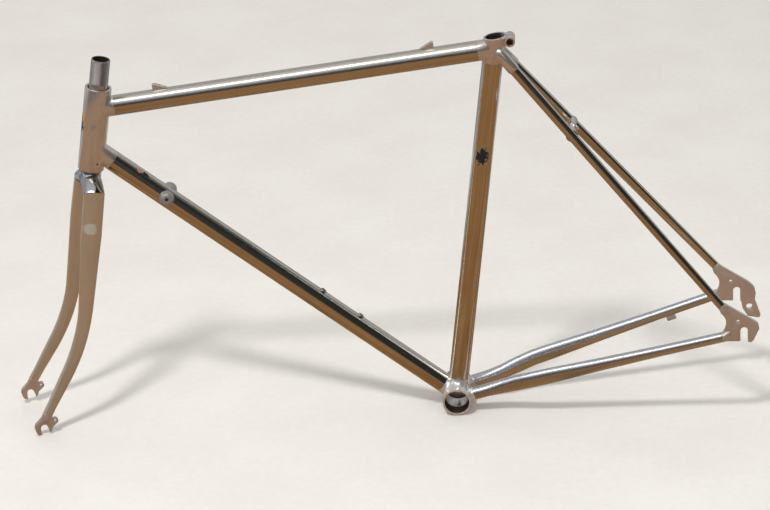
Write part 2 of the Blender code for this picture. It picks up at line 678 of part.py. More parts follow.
def slot_frame(tilt):
    """Downward and forward unit vectors of an axle slot whose mouth leans forward by tilt degrees."""
    angle = math.radians(tilt)
    return Vector((math.sin(angle), -math.cos(angle))), Vector((math.cos(angle), math.sin(angle)))


def slot_outline(width, mouth, rear_depth, front_depth, tilt):
    """Open slot as outline points, from its rear lip round the axle to its front lip."""
    down, ahead = slot_frame(tilt)
    rear = down * rear_depth - ahead * mouth / 2
    front = down * front_depth + ahead * mouth / 2
    arch = arc((0.0, 0.0), width / 2, 180 + tilt, tilt, 9)
    return [tuple(rear), *arch, tuple(front)]


def dropout_outline(hanger):
    """Outline of a dropout about the axle: forward and up, clockwise from the slot's front lip."""
    slot = slot_outline(REAR_SLOT_WIDTH, REAR_SLOT_WIDTH, *REAR_SLOT_LIPS, REAR_SLOT_TILT)
    rear = HANGER_REAR if hanger else DROPOUT_REAR
    return [*slot, *DROPOUT_FRONT, *arc(*DROPOUT_HOLLOW, 9), *DROPOUT_UPPER, *rear]


def recess_outline(width, tilt):
    """Shallow recess that follows the slot, run out past the plate's edge."""
    down, ahead = slot_frame(tilt)
    half = width / 2 + RECESS_MARGIN
    foot = down * 0.05
    arch = arc((0.0, 0.0), half, 180 + tilt, tilt, 13)
    return [tuple(foot - ahead * half), *arch, tuple(foot + ahead * half)]


def build_dropout(name, side, root):
    """Dropout with spigots for its two stays; the right one carries the derailleur hanger."""
    cast = metal("cast aluminium", CAST_ALUMINIUM, 0.28)
    place = plate_place(side * DROPOUT_MIDDLE, REAR_AXLE)
    half = DROPOUT_THICKNESS / 2
    outline = dropout_outline(side == RIGHT)
    obj = plate("dropout_" + name, place, outline, -half, half, cast, root)
    seat_place, seat_length = seatstay_place(side)
    seat_foot = seat_place @ Matrix.Translation((0.0, 0.0, seat_length))
    seat_radius = spigot_radius(SEATSTAY_TIP_DIAMETER, STAY_WALL)
    turn = Matrix.Rotation(math.pi, 4, "X")
    joints = (
        ("seatstay", seat_foot @ turn, SEATSTAY_TIP_DIAMETER / 2, seat_radius),
        ("chainstay", chainstay_tip(side), STAY_TIP_DIAMETER / 2, spigot_radius(STAY_TIP_DIAMETER, STAY_WALL)),
    )
    for stay, seam, radius, spigot in joints:
        inward = -side * STAY_END_OFFSET
        swell = ((-TAPER_LENGTH, half * 0.9, radius * 0.75, inward), (-0.0030, radius, radius),
                 (0.0, radius, radius))
        title = "%s %s" % (stay, name)
        add(obj, lofted(title + " swell", seam, swell, STAY_SIDES, cast, root))
        add(obj, rod(title + " spigot", seam, spigot, -0.002, STAY_SPIGOT - 0.002, STAY_SIDES, parent=root))
    outside = side * half
    recess = recess_outline(REAR_SLOT_WIDTH, REAR_SLOT_TILT)
    low, high = sorted((outside - side * RECESS_DEPTH, outside + side * REACH))
    cut(obj, plate("recess " + name, place, recess, low, high, cast, root))
    eyelet = place @ Matrix.Translation((*REAR_EYELET, 0.0))
    cut(obj, rod("eyelet " + name, eyelet, EYELET_RADIUS, -REACH, REACH, SMALL_SIDES, parent=root))
    if side == RIGHT:
        hole = place @ Matrix.Translation((*HANGER_HOLE, 0.0))
        cut(obj, rod("hanger hole", hole, HANGER_HOLE_RADIUS, -REACH, REACH, STAY_SIDES, parent=root))
    return obj


# ---------------------------------------------------------------- seat cluster


def seat_axis_at(height):
    """Point on the seat tube's axis at this height above the bottom bracket."""
    return SEAT_UP * (height / SEAT_UP.z)


def ear_centre():
    """Centre of the clamp's bolt, level with the top of the lug."""
    height = SEAT_LUG_TOP - EAR_DIAMETER / 2
    return seat_axis_at(height) - Vector((EAR_SETBACK, 0.0, 0.0))


def build_seat_lug(root):
    """Seat lug: barrel, level top, clamp ears, and joints for the top tube and both seatstays."""
    cast = metal("cast aluminium", CAST_ALUMINIUM, 0.28)
    axis = placed(Vector(), SEAT_UP)
    top = SEAT_LUG_TOP / SEAT_UP.z
    barrel = SEAT_LUG_DIAMETER / 2
    lip = SEAT_LIP_DIAMETER / 2
    edge = top - SEAT_LIP_HEIGHT
    sections = ((SEAT_LUG_FOOT, barrel, barrel), (edge - 0.003, barrel, barrel), (edge, lip, lip),
                (top + 0.01, lip, lip))
    obj = lofted("seat_lug", axis, sections, TUBE_SIDES, cast, root)
    front = placed(SEAT_NODE, Vector((1.0, 0.0, 0.0)))
    add(obj, *stub("seat top", front, SEAT_LUG_COLLAR, TUBE_DIAMETER, spigot_radius(), SPIGOT_LENGTH, root))
    hollow = spigot_radius() - SPIGOT_WALL
    reach = SEAT_LUG_COLLAR + SPIGOT_LENGTH + 0.01
    hollows = [rod("seat top hollow", front, hollow, 0.0, reach, parent=root)]
    for name, side in SIDES:
        place, _ = seatstay_place(side)
        radius = SEAT_ARM_DIAMETER / 2
        rise = SEATSTAY_TOP_SEAM
        blunt = radius * 0.45
        round_off = radius * 0.8
        rim = radius - SEAT_ARM_BEVEL / 2
        arm = ((-rise, blunt, blunt), (-rise + SEAT_ARM_NOSE / 3, round_off, round_off),
               (-rise + SEAT_ARM_NOSE, radius, radius), (-SEAT_ARM_BEVEL, radius, radius), (0.0, rim, rim))
        add(obj, lofted("seat arm " + name, place, arm, STAY_SIDES, cast, root))
        spigot = spigot_radius(SEATSTAY_DIAMETER, STAY_WALL)
        high = STAY_SPIGOT - 0.002
        pin = rod("seat arm spigot " + name, place, spigot, -0.005, high, STAY_SIDES, parent=root)
        add(obj, pin)
    ears = placed(ear_centre(), ACROSS, Vector((1.0, 0.0, 0.0)))
    radius = EAR_DIAMETER / 2
    add(obj, rod("clamp ears", ears, radius, -EAR_RIGHT, EAR_LEFT, STAY_SIDES, parent=root))
    low = (0.0, -radius + 0.0008, -WEB_HALF_WIDTH)
    web = block("clamp web", ears, low, (EAR_SETBACK - 0.004, radius, WEB_HALF_WIDTH), parent=root)
    add(obj, web)
    level = Matrix.Translation(SEAT_NODE)
    above = SEAT_LUG_TOP - SEAT_NODE.z
    trim = block("level top", level, (-0.06, -0.05, above), (0.05, 0.05, above + 0.05), parent=root)
    bore = rod("seatpost bore", axis, SEATPOST_BORE / 2, SEAT_LUG_FOOT - 0.02, top + 0.03, parent=root)
    neck_radius = barrel - SEAT_SOCKET_WALL
    neck_top = SEAT_LUG_FOOT + SEAT_NECK_LENGTH + GAP
    socket = rod("seat socket", axis, neck_radius, SEAT_LUG_FOOT - 0.02, neck_top, parent=root)
    slot_low = above - CLAMP_SLOT_DEPTH
    half = CLAMP_SLOT / 2
    slot = block("clamp slot", level, (-0.06, -half, slot_low), (0.0, half, above + 0.01), parent=root)
    clear = TUBE_DIAMETER / 2 + GAP
    below = rod("seat tube room", axis, clear, SEAT_LUG_FOOT - 0.03, SEAT_LUG_FOOT - GAP / 3, parent=root)
    cut(obj, trim, *hollows, bore, socket, below, slot)
    shank = rod("binder hole", ears, BINDER_RADIUS + GAP, -REACH, REACH, SMALL_SIDES, parent=root)
    head = BINDER_HEAD_RADIUS + GAP
    depth = BINDER_HEAD_LENGTH + GAP
    left = rod("binder head seat", ears, head, EAR_LEFT - depth, REACH, SMALL_SIDES, parent=root)
    right = rod("binder nut seat", ears, head, -REACH, depth - EAR_RIGHT, SMALL_SIDES, parent=root)
    cut(obj, shank, left, right)
    return obj


def build_seat_binder(root):
    """Socket-head bolt from the left ear into a round nut in the right ear."""
    steel = metal("dark steel", DARK_STEEL, 0.35)
    ears = placed(ear_centre(), ACROSS, Vector((1.0, 0.0, 0.0)))
    seat = EAR_LEFT - BINDER_HEAD_LENGTH
    shank = [(height, BINDER_RADIUS, BINDER_RADIUS) for height in (0.001 - EAR_RIGHT, seat + 0.001)]
    bolt = lofted("seat_binder_bolt", ears, shank, SMALL_SIDES, steel, root)
    head = rod("binder head", ears, BINDER_HEAD_RADIUS, seat, EAR_LEFT - BINDER_REST, SMALL_SIDES, parent=root)
    floor = seat + BINDER_SOCKET_FLOOR
    hexagon = rod("binder hexagon", ears, BINDER_SOCKET_RADIUS, floor, EAR_LEFT + REACH, 6, parent=root)
    add(bolt, head)
    cut(bolt, hexagon)
    inner = BINDER_RADIUS + GAP
    outer = BINDER_HEAD_RADIUS
    low = BINDER_REST - EAR_RIGHT
    high = BINDER_HEAD_LENGTH - EAR_RIGHT
    profile = ((outer, low), (outer, high), (inner, high), (inner, low))
    turned("seat_binder_nut", ears, profile, SMALL_SIDES, steel, root)


# ---------------------------------------------------------------- fittings


def bottle_places():
    """Matrices of the two bottle bosses, on the down tube's upper side."""
    return [down_tube_top(BOTTLE_BOSS_PLACE + step * BOTTLE_BOSS_SPACING, 90.0) for step in (0, 1)]


def build_bottle_bosses(root):
    """Two threaded inserts that pass through the down tube's wall."""
    steel = metal("steel insert", STEEL, 0.3)
    outer = TUBE_DIAMETER / 2
    flange = BOTTLE_FLANGE_RADIUS
    body = BOTTLE_BODY_RADIUS
    thread = BOTTLE_THREAD_RADIUS
    low = outer + GAP
    high = low + BOTTLE_FLANGE_HEIGHT
    foot = outer - BOTTLE_BODY_LENGTH
    profile = ((body, foot), (body, low), (flange, low), (flange - 0.0005, high), (thread, high),
               (thread, foot))
    for name, place in zip(("bottle_boss_lower", "bottle_boss_upper"), bottle_places()):
        turned(name, place, profile, SMALL_SIDES, steel, root)


def build_shift_bosses(root):
    """Domed lever bosses with a threaded centre, one on each side of the down tube."""
    cast = metal("cast aluminium", CAST_ALUMINIUM, 0.28)
    wide = SHIFT_BOSS_RADIUS
    top = TUBE_DIAMETER / 2 + SHIFT_BOSS_HEIGHT
    thread = SHIFT_BOSS_THREAD
    nose = SHIFT_BOSS_NOSE
    profile = [(thread, SHIFT_BOSS_FOOT), (wide, SHIFT_BOSS_FOOT), (wide, SHIFT_BOSS_STEP)]
    dome = top - SHIFT_BOSS_STEP
    for turn in (25, 50, 70):
        angle = math.radians(turn)
        profile.append((nose + (wide - nose) * math.cos(angle), SHIFT_BOSS_STEP + dome * math.sin(angle)))
    profile += [(nose, top), (thread, top)]
    for name, side in SIDES:
        raise_angle = SHIFT_BOSS_RAISE if side == LEFT else 180 - SHIFT_BOSS_RAISE
        place = down_tube_top(SHIFT_BOSS_PLACE, raise_angle)
        boss = turned("shift_boss_" + name, place, profile, STAY_SIDES, cast, root)
        around = placed(DOWN_UP * SHIFT_BOSS_PLACE, DOWN_UP)
        cut(boss, rod("boss saddle " + name, around, TUBE_DIAMETER / 2 + GAP, -REACH, REACH, parent=root))


def build_top_cable_stops(root):
    """Two ramped stops on the top tube whose mouths face away from each other."""
    cast = metal("cast aluminium", CAST_ALUMINIUM, 0.28)
    radius = TUBE_DIAMETER / 2
    peak = radius + TOP_STOP_HEIGHT
    ends = (("front", HEAD_NODE.x - TOP_STOP_FRONT, -1.0), ("rear", -TOP_STOP_REAR, 1.0))
    for name, mouth, way in ends:
        turn = Matrix(((way, 0, 0), (0, 0, -way), (0, 1, 0))).to_4x4()
        place = Matrix.Translation((mouth, 0.0, SEAT_NODE.z)) @ turn
        outline = ((0.0, radius * 0.8), (TOP_STOP_LENGTH, radius * 0.8),
                   (TOP_STOP_LENGTH, radius + TOP_STOP_TOE), (TOP_STOP_NOSE, peak), (0.0, peak))
        half = TOP_STOP_WIDTH / 2
        stop = plate("top_cable_stop_" + name, place, outline, -half, half, cast, root)
        tube_axis = placed(Vector((mouth, 0.0, SEAT_NODE.z)), Vector((1.0, 0.0, 0.0)))
        saddle = rod("stop saddle " + name, tube_axis, radius + GAP, -REACH, REACH, parent=root)
        line = placed(Vector((mouth, 0.0, SEAT_NODE.z + peak - CABLE_DROP)), Vector((way, 0.0, 0.0)))
        housing = rod("stop housing " + name, line, HOUSING_RADIUS, -REACH, HOUSING_DEPTH, 12, parent=root)
        cable = rod("stop cable " + name, line, CABLE_RADIUS, -REACH, REACH, 8, parent=root)
        cut(stop, saddle, housing, cable)


def build_chainstay_cable_stop(root):
    """Barrel stop under the right chainstay, in front of the dropout."""
    cast = metal("cast aluminium", CAST_ALUMINIUM, 0.28)
    behind = -REAR_AXLE.x - STAY_STOP_PLACE
    here = chainstay_point(RIGHT, behind)
    along = chainstay_point(RIGHT, behind + 0.002) - chainstay_point(RIGHT, behind - 0.002)
    stay = placed(here, along)
    _, tall = chainstay_section(behind)
    below = Vector((0.0, 0.0, -1.0))
    barrel = placed(here + below * (tall + STAY_STOP_RADIUS), along)
    half = STAY_STOP_LENGTH / 2
    obj = rod("chainstay_cable_stop", barrel, STAY_STOP_RADIUS, -half, half, SMALL_SIDES, cast, root)
    saddle = rod("stay stop saddle", stay, tall + 2 * GAP, -REACH, REACH, parent=root)
    housing = rod("stay stop housing", barrel, HOUSING_RADIUS, 0.0, REACH, 12, parent=root)
    cable = rod("stay stop cable", barrel, CABLE_RADIUS, -REACH, REACH, 8, parent=root)
    cut(obj, saddle, housing, cable)


# ---------------------------------------------------------------- fork


def build_crown_race(fork):
    """Thin ring on top of the crown, against the foot of the head tube."""
    inner = STEERER_DIAMETER / 2 + GAP
    outer = RACE_DIAMETER / 2
    low = -GAP - RACE_HEIGHT
    profile = ((inner, low), (outer, low), (outer, -GAP), (inner, -GAP))
    turned("crown_race", Matrix(), profile, SHELL_SIDES, metal("steel", STEEL, 0.25), fork)


def brake_hole(name, fork):
    """Cutter for the brake bolt, through the crown from front to back."""
    place = placed(Vector((0.0, 0.0, -CROWN_TOP - CROWN_HOLE_DROP)), Vector((1.0, 0.0, 0.0)))
    return rod(name, place, CROWN_HOLE_RADIUS, -REACH, REACH, SMALL_SIDES, parent=fork)


def build_steerer_tube(fork):
    """Steerer, bonded into the crown and open at both ends."""
    outer = STEERER_DIAMETER / 2
    inner = STEERER_BORE / 2
    low = -CROWN_TOP - CROWN_SOCKET_DEPTH + GAP
    high = HEAD_LENGTH + STEERER_STAND
    profile = ((outer, low), (outer, high), (inner, high), (inner, low))
    obj = turned("steerer_tube", Matrix(), profile, TUBE_SIDES, metal("steel", STEEL, 0.25), fork)
    half = KEYWAY_WIDTH / 2
    floor = high - KEYWAY_DEPTH
    keyway = block("keyway", Matrix(), (-REACH, -half, floor), (0.0, half, high + REACH), parent=fork)
    cut(obj, keyway, brake_hole("steerer brake hole", fork))
    return obj


def blade_seam(side):
    """Matrix at a blade's upper seam with +Z down the blade and +X across it."""
    top = blade_point(side, CROWN_SHOULDER_DROP)
    below = blade_point(side, CROWN_SHOULDER_DROP + 0.05)
    return placed(top, below - top)


def seam_section(side):
    """Matrix of the slanted section where a blade meets the crown, and its half width."""
    tilt = math.radians(CROWN_SEAM_TILT)
    normal = Vector((0.0, side * math.sin(tilt), -math.cos(tilt)))
    blade = blade_seam(side)
    along = blade.to_3x3() @ Vector((0.0, 0.0, 1.0))
    return placed(blade.translation, normal), BLADE_TOP_WIDTH / 2 / along.dot(normal)


def build_fork_crown(fork):
    """Crown: a neck under the head tube on a bow that slopes down to both blades."""
    chrome = metal("polished crown", CHROME, 0.08)
    bm = bmesh.new()
    rings = []
    steps = np.linspace(-1.0, 1.0, 17)
    seam, half_wide = seam_section(LEFT)
    for step in steps:
        out = abs(step)
        drop = CROWN_MIDDLE_DROP + (CROWN_SHOULDER_DROP - CROWN_MIDDLE_DROP) * out ** 1.8
        tilt = (90.0 - CROWN_SEAM_TILT) * out ** 1.3 * (1 if step > 0 else -1)
        centre = Vector((0.0, BLADE_TOP_OFFSET * step, -CROWN_TOP - drop))
        place = Matrix.Translation(centre) @ Matrix.Rotation(math.radians(-90.0 - tilt), 4, "X")
        tall = CROWN_HALF_HEIGHT + (half_wide - CROWN_HALF_HEIGHT) * out
        deep = CROWN_HALF_DEPTH + (BLADE_TOP_DEPTH / 2 - CROWN_HALF_DEPTH) * out
        rings.append(ring(bm, place, deep, tall, 0.0, TUBE_SIDES))
    for low, high in zip(rings, rings[1:]):
        skin(bm, low, high)
    bm.faces.new(rings[0])
    bm.faces.new(rings[-1])
    obj = finish("fork_crown", bm, chrome, fork)
    middle = placed(Vector((0.0, 0.0, -CROWN_TOP)), Vector((0.0, 0.0, -1.0)))
    neck = rod("crown neck", middle, CROWN_NECK_RADIUS, 0.0, CROWN_MIDDLE_DROP, SHELL_SIDES, parent=fork)
    add(obj, neck)
    for name, side in SIDES:
        inset = BLADE_WALL + GAP
        across, deep = BLADE_TOP_WIDTH / 2 - inset, BLADE_TOP_DEPTH / 2 - inset
        pin = ((-0.004, across, deep), (BLADE_SPIGOT, across, deep))
        add(obj, lofted("crown spigot " + name, blade_seam(side), pin, TUBE_SIDES, chrome, fork))
    socket = rod("steerer socket", middle, STEERER_DIAMETER / 2 + GAP, -0.01, CROWN_SOCKET_DEPTH, parent=fork)
    vent = rod("steerer vent", middle, STEERER_BORE / 2 - 0.002, 0.0, 0.04, parent=fork)
    cut(obj, socket, vent, brake_hole("crown brake hole", fork))
    return obj


def blade_section(drop):
    """Half width and half depth of a fork blade this far below the crown's top."""
    end = FORK_LENGTH - BLADE_END
    drops, depth_lost, width_lost = zip(*BLADE_TAPER)
    stations = (CROWN_SHOULDER_DROP, *drops, end - STAY_SPIGOT, end)
    lost = BLADE_TOP_DEPTH - BLADE_TIP_DEPTH
    deep = BLADE_TOP_DEPTH - float(np.interp(drop, stations, (0.0, *depth_lost, lost, lost)))
    lost = BLADE_TOP_WIDTH - BLADE_TIP_WIDTH
    wide = BLADE_TOP_WIDTH - float(np.interp(drop, stations, (0.0, *width_lost, lost, lost)))
    return wide / 2, deep / 2


def blade_foot(side):
    """Matrix at a blade's lower seam with +Z back up the blade."""
    end = FORK_LENGTH - BLADE_END
    low = blade_point(side, end)
    return placed(low, blade_point(side, end - STAY_SPIGOT) - low)


def build_fork_blade(name, side, fork):
    """Oval fork blade, straight to the bend and then raked forward."""
    end = FORK_LENGTH - BLADE_END
    seam = blade_seam(side)
    foot = blade_foot(side)
    slanted, half_wide = seam_section(side)
    straight = CROWN_SHOULDER_DROP + BLADE_SPIGOT + 0.002
    drops = [CROWN_SHOULDER_DROP, straight, 0.085, 0.130, 0.165]
    drops += list(np.linspace(BEND_START, BEND_END, 11)) + [0.315, end - STAY_SPIGOT, end]
    places = []
    for drop in drops:
        along = blade_point(side, drop + 0.002) - blade_point(side, drop - 0.002)
        places.append(placed(blade_point(side, drop), along))
    turn = Matrix.Rotation(math.pi, 4, "X")
    places[0] = Matrix.Translation((0.0, 0.0, -GAP / math.cos(math.radians(CROWN_SEAM_TILT)))) @ slanted
    places[1] = seam @ Matrix.Translation((0.0, 0.0, straight - CROWN_SHOULDER_DROP))
    places[-2] = foot @ Matrix.Translation((0.0, 0.0, STAY_SPIGOT)) @ turn
    places[-1] = foot @ Matrix.Translation((0.0, 0.0, GAP)) @ turn
    outer = [blade_section(drop) for drop in drops]
    inner = [(wide - BLADE_WALL, deep - BLADE_WALL) for wide, deep in outer]
    stretch = half_wide / outer[0][0]
    outer[0] = (half_wide, outer[0][1])
    inner[0] = (inner[0][0] * stretch, inner[0][1])
    material = metal("aluminium tube", ALUMINIUM, 0.16)
    return tube("fork_blade_" + name, places, outer, inner, TUBE_SIDES, material, fork)


def fork_end_outline():
    """Outline of a fork end about its axle: forward and up, clockwise from the slot's front lip."""
    slot = slot_outline(FRONT_SLOT_WIDTH, FRONT_SLOT_MOUTH, *FRONT_SLOT_LIPS, FRONT_SLOT_TILT)
    front = arc((0.0, 0.0), FORK_END_RADIUS, -58, 22, 9)
    eyelet = arc(FORK_EYELET, FORK_EYELET_OUTER, 60, 215, 8)
    rear = arc((0.0, 0.0), FORK_END_RADIUS - 0.001, 174, 200, 4)
    return [*slot, *front, *FORK_END_NECK, *eyelet, *rear, *FORK_END_CHIN]


def build_fork_end(name, side, fork):
    """Fork end with an open axle slot, a mudguard eyelet and a spigot for the blade."""
    cast = metal("cast aluminium", CAST_ALUMINIUM, 0.28)
    axle = Vector((FORK_RAKE, 0.0, -CROWN_TOP - FORK_LENGTH))
    place = plate_place(side * FORK_END_MIDDLE, axle)
    half = FORK_END_THICKNESS / 2
    obj = plate("fork_end_" + name, place, fork_end_outline(), -half, half, cast, fork)
    foot = blade_foot(side)
    wide = BLADE_TIP_WIDTH / 2
    deep = BLADE_TIP_DEPTH / 2
    swell = ((-TAPER_LENGTH, half * 0.9, deep * 0.85), (-0.0020, wide, deep), (0.0, wide, deep))
    add(obj, lofted("fork end swell " + name, foot, swell, TUBE_SIDES, cast, fork))
    inset = BLADE_WALL + GAP
    pin = ((-0.002, wide - inset, deep - inset), (STAY_SPIGOT - 0.002, wide - inset, deep - inset))
    add(obj, lofted("fork end spigot " + name, foot, pin, TUBE_SIDES, cast, fork))
    recess = recess_outline(FRONT_SLOT_WIDTH, FRONT_SLOT_TILT)
    outside = side * half
    low, high = sorted((outside - side * RECESS_DEPTH, outside + side * REACH))
    cut(obj, plate("fork recess " + name, place, recess, low, high, cast, fork))
    eyelet = place @ Matrix.Translation((*FORK_EYELET, 0.0))
    cut(obj, rod("fork eyelet " + name, eyelet, EYELET_RADIUS, -REACH, REACH, SMALL_SIDES, parent=fork))
    return obj


# ---------------------------------------------------------------- assembly


def world_points(body_root):
    """Every rendered vertex below an empty, in the coordinates of the whole bicycle frame."""
    graph = bpy.context.evaluated_depsgraph_get()
    points = []
    for obj in body_root.children_recursive:
        if obj.type == "MESH" and not obj.hide_render:
            evaluated = obj.evaluated_get(graph)
            matrix = evaluated.matrix_world
            points += [matrix @ vertex.co for vertex in evaluated.data.vertices]
    return np.array([tuple(point) for point in points])


def stand_up(root, fork):
    """Pitch the frame until shell and fork ends are level, then put its box's bottom centre at the origin."""
    bpy.context.view_layer.update()
    everything = world_points(root)
    turning = world_points(fork)
    foot = turning[turning[:, 2] < turning[:, 2].min() + 0.05]
    shell = everything[np.hypot(everything[:, 0], everything[:, 2]) < SHELL_DIAMETER / 2 + 0.001]

    def lowest(points, angle):
        """Lowest height of the points once they are pitched nose down by angle."""
        return (points[:, 2] * math.cos(angle) - points[:, 0] * math.sin(angle)).min()

    low = 0.0
    high = math.radians(30)
    for _ in range(60):
        pitch = (low + high) / 2
        if lowest(foot, pitch) > lowest(shell, pitch):
            low = pitch
        else:
            high = pitch
    turned_points = everything @ np.array(Matrix.Rotation(pitch, 3, "Y")).T
    corner = turned_points.min(axis=0)
    middle = (corner + turned_points.max(axis=0)) / 2
    shift = Matrix.Translation((-middle[0], -middle[1], -corner[2]))
    root.matrix_world = shift @ Matrix.Rotation(pitch, 4, "Y")
    bpy.context.view_layer.update()


def main():
    """Build every sub-part and stand the frame up."""
    clear_scene()
    root = bpy.data.objects.new("riding_frame", None)
    fork = bpy.data.objects.new("steering_axis", None)
    for empty in (root, fork):
        bpy.context.scene.collection.objects.link(empty)
    fork.parent = root
    # The empty's +Z is the steering axis and its +X points forward, square to that axis.
    straight = placed(HEAD_FOOT, HEAD_UP) @ Matrix.Rotation(-math.pi / 2, 4, "Z")
    fork.matrix_local = straight @ Matrix.Rotation(math.radians(FORK_TURN), 4, "Z")

    build_head_tube(root)
    build_top_tube(root)
    build_down_tube(root)
    build_seat_tube(root)
    build_bottom_bracket_shell(root)
    for name, side in SIDES:
        build_chainstay(name, side, root)
        build_seatstay(name, side, root)
        build_dropout(name, side, root)
    build_brake_bridge(root)
    build_seat_lug(root)
    build_seat_binder(root)
    build_bottle_bosses(root)
    build_shift_bosses(root)
    build_top_cable_stops(root)
    build_chainstay_cable_stop(root)

    build_crown_race(fork)
    build_steerer_tube(fork)
    build_fork_crown(fork)
    for name, side in SIDES:
        build_fork_blade(name, side, fork)
        build_fork_end(name, side, fork)
    stand_up(root, fork)


main()
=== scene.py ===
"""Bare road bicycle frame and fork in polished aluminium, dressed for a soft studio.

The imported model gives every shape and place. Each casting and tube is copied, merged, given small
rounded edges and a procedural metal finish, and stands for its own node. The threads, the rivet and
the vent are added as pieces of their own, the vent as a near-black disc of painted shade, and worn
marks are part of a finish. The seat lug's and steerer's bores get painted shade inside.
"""

import json  # noqa: E402
import logging  # noqa: E402
import math  # noqa: E402
from dataclasses import dataclass, field  # noqa: E402
from enum import Enum  # noqa: E402

import bmesh  # noqa: E402
import bpy  # noqa: E402
import numpy as np  # noqa: E402
from mathutils import Matrix, Vector  # noqa: E402

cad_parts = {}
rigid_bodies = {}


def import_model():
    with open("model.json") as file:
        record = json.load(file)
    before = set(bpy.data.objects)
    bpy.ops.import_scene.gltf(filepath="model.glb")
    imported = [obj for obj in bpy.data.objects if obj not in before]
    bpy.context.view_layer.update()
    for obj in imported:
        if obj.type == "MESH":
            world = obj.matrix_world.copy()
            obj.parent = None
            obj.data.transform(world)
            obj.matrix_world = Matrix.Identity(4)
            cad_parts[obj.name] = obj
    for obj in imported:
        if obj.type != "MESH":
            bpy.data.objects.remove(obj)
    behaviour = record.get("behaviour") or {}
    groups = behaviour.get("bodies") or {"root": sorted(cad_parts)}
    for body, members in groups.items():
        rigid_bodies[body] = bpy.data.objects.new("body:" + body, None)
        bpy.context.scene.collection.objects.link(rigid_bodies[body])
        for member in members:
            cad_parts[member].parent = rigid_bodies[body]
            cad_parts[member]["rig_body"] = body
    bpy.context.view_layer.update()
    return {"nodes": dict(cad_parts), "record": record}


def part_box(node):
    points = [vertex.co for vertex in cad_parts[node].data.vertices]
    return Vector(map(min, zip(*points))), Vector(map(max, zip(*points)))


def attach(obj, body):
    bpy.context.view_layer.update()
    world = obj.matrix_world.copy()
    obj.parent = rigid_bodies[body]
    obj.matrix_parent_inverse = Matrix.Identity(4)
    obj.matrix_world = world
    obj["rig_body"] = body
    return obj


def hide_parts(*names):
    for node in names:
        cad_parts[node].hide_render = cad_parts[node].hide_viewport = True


LOG = logging.getLogger("bicycle_frame")
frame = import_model()

Colour = tuple[float, float, float]
ACROSS = Vector((0.0, 1.0, 0.0))
UP = Vector((0.0, 0.0, 1.0))
FRAME_BODY = "frame"
FORK_BODY = "fork"
MERGE_DISTANCE = 0.000004
TURNED_MERGE_DISTANCE = 0.000001
FLAT_ANGLE = math.radians(0.6)
BEVEL_ANGLE = math.radians(40)
LEVEL_SLOPE = 0.15


# ---------------------------------------------------------------- shader building


class Wire:
    """A shader socket that can be used in Python arithmetic."""

    def __init__(self, shader: "Shader", socket: bpy.types.NodeSocket) -> None:
        """Wrap an output socket.

        Args:
            shader: The builder that owns the node tree.
            socket: The output socket to wrap.
        """
        self.shader = shader
        self.socket = socket

    def math(self, operation: str, other: "Wire | float | None" = None, swap: bool = False) -> "Wire":
        """Add one Math node.

        Args:
            operation: Name of the Math node's operation.
            other: Second operand, if the operation takes one.
            swap: True to put the other operand first.

        Returns:
            The node's result.
        """
        operands = [self] if other is None else [self, other]
        if swap:
            operands.reverse()
        return self.shader.node("ShaderNodeMath", {"operation": operation}, dict(enumerate(operands)))

    def __add__(self, other: "Wire | float") -> "Wire":
        """Sum of two values."""
        return self.math("ADD", other)

    def __radd__(self, other: float) -> "Wire":
        """Sum of two values."""
        return self.math("ADD", other)

    def __sub__(self, other: "Wire | float") -> "Wire":
        """Difference of two values."""
        return self.math("SUBTRACT", other)

    def __rsub__(self, other: float) -> "Wire":
        """Difference with the wire second."""
        return self.math("SUBTRACT", other, swap=True)

    def __mul__(self, other: "Wire | float") -> "Wire":
        """Product of two values."""
        return self.math("MULTIPLY", other)

    def __rmul__(self, other: float) -> "Wire":
        """Product of two values."""
        return self.math("MULTIPLY", other)

    def __truediv__(self, other: "Wire | float") -> "Wire":
        """Quotient of two values."""
        return self.math("DIVIDE", other)

    def __pow__(self, other: float) -> "Wire":
        """Power of a value."""
        return self.math("POWER", other)

    def above(self, low: float, high: float) -> "Wire":
        """Smooth step from 0 at low to 1 at high."""
        values = {"Value": self, "From Min": low, "From Max": high}
        return self.shader.node("ShaderNodeMapRange", {"interpolation_type": "SMOOTHSTEP"}, values)


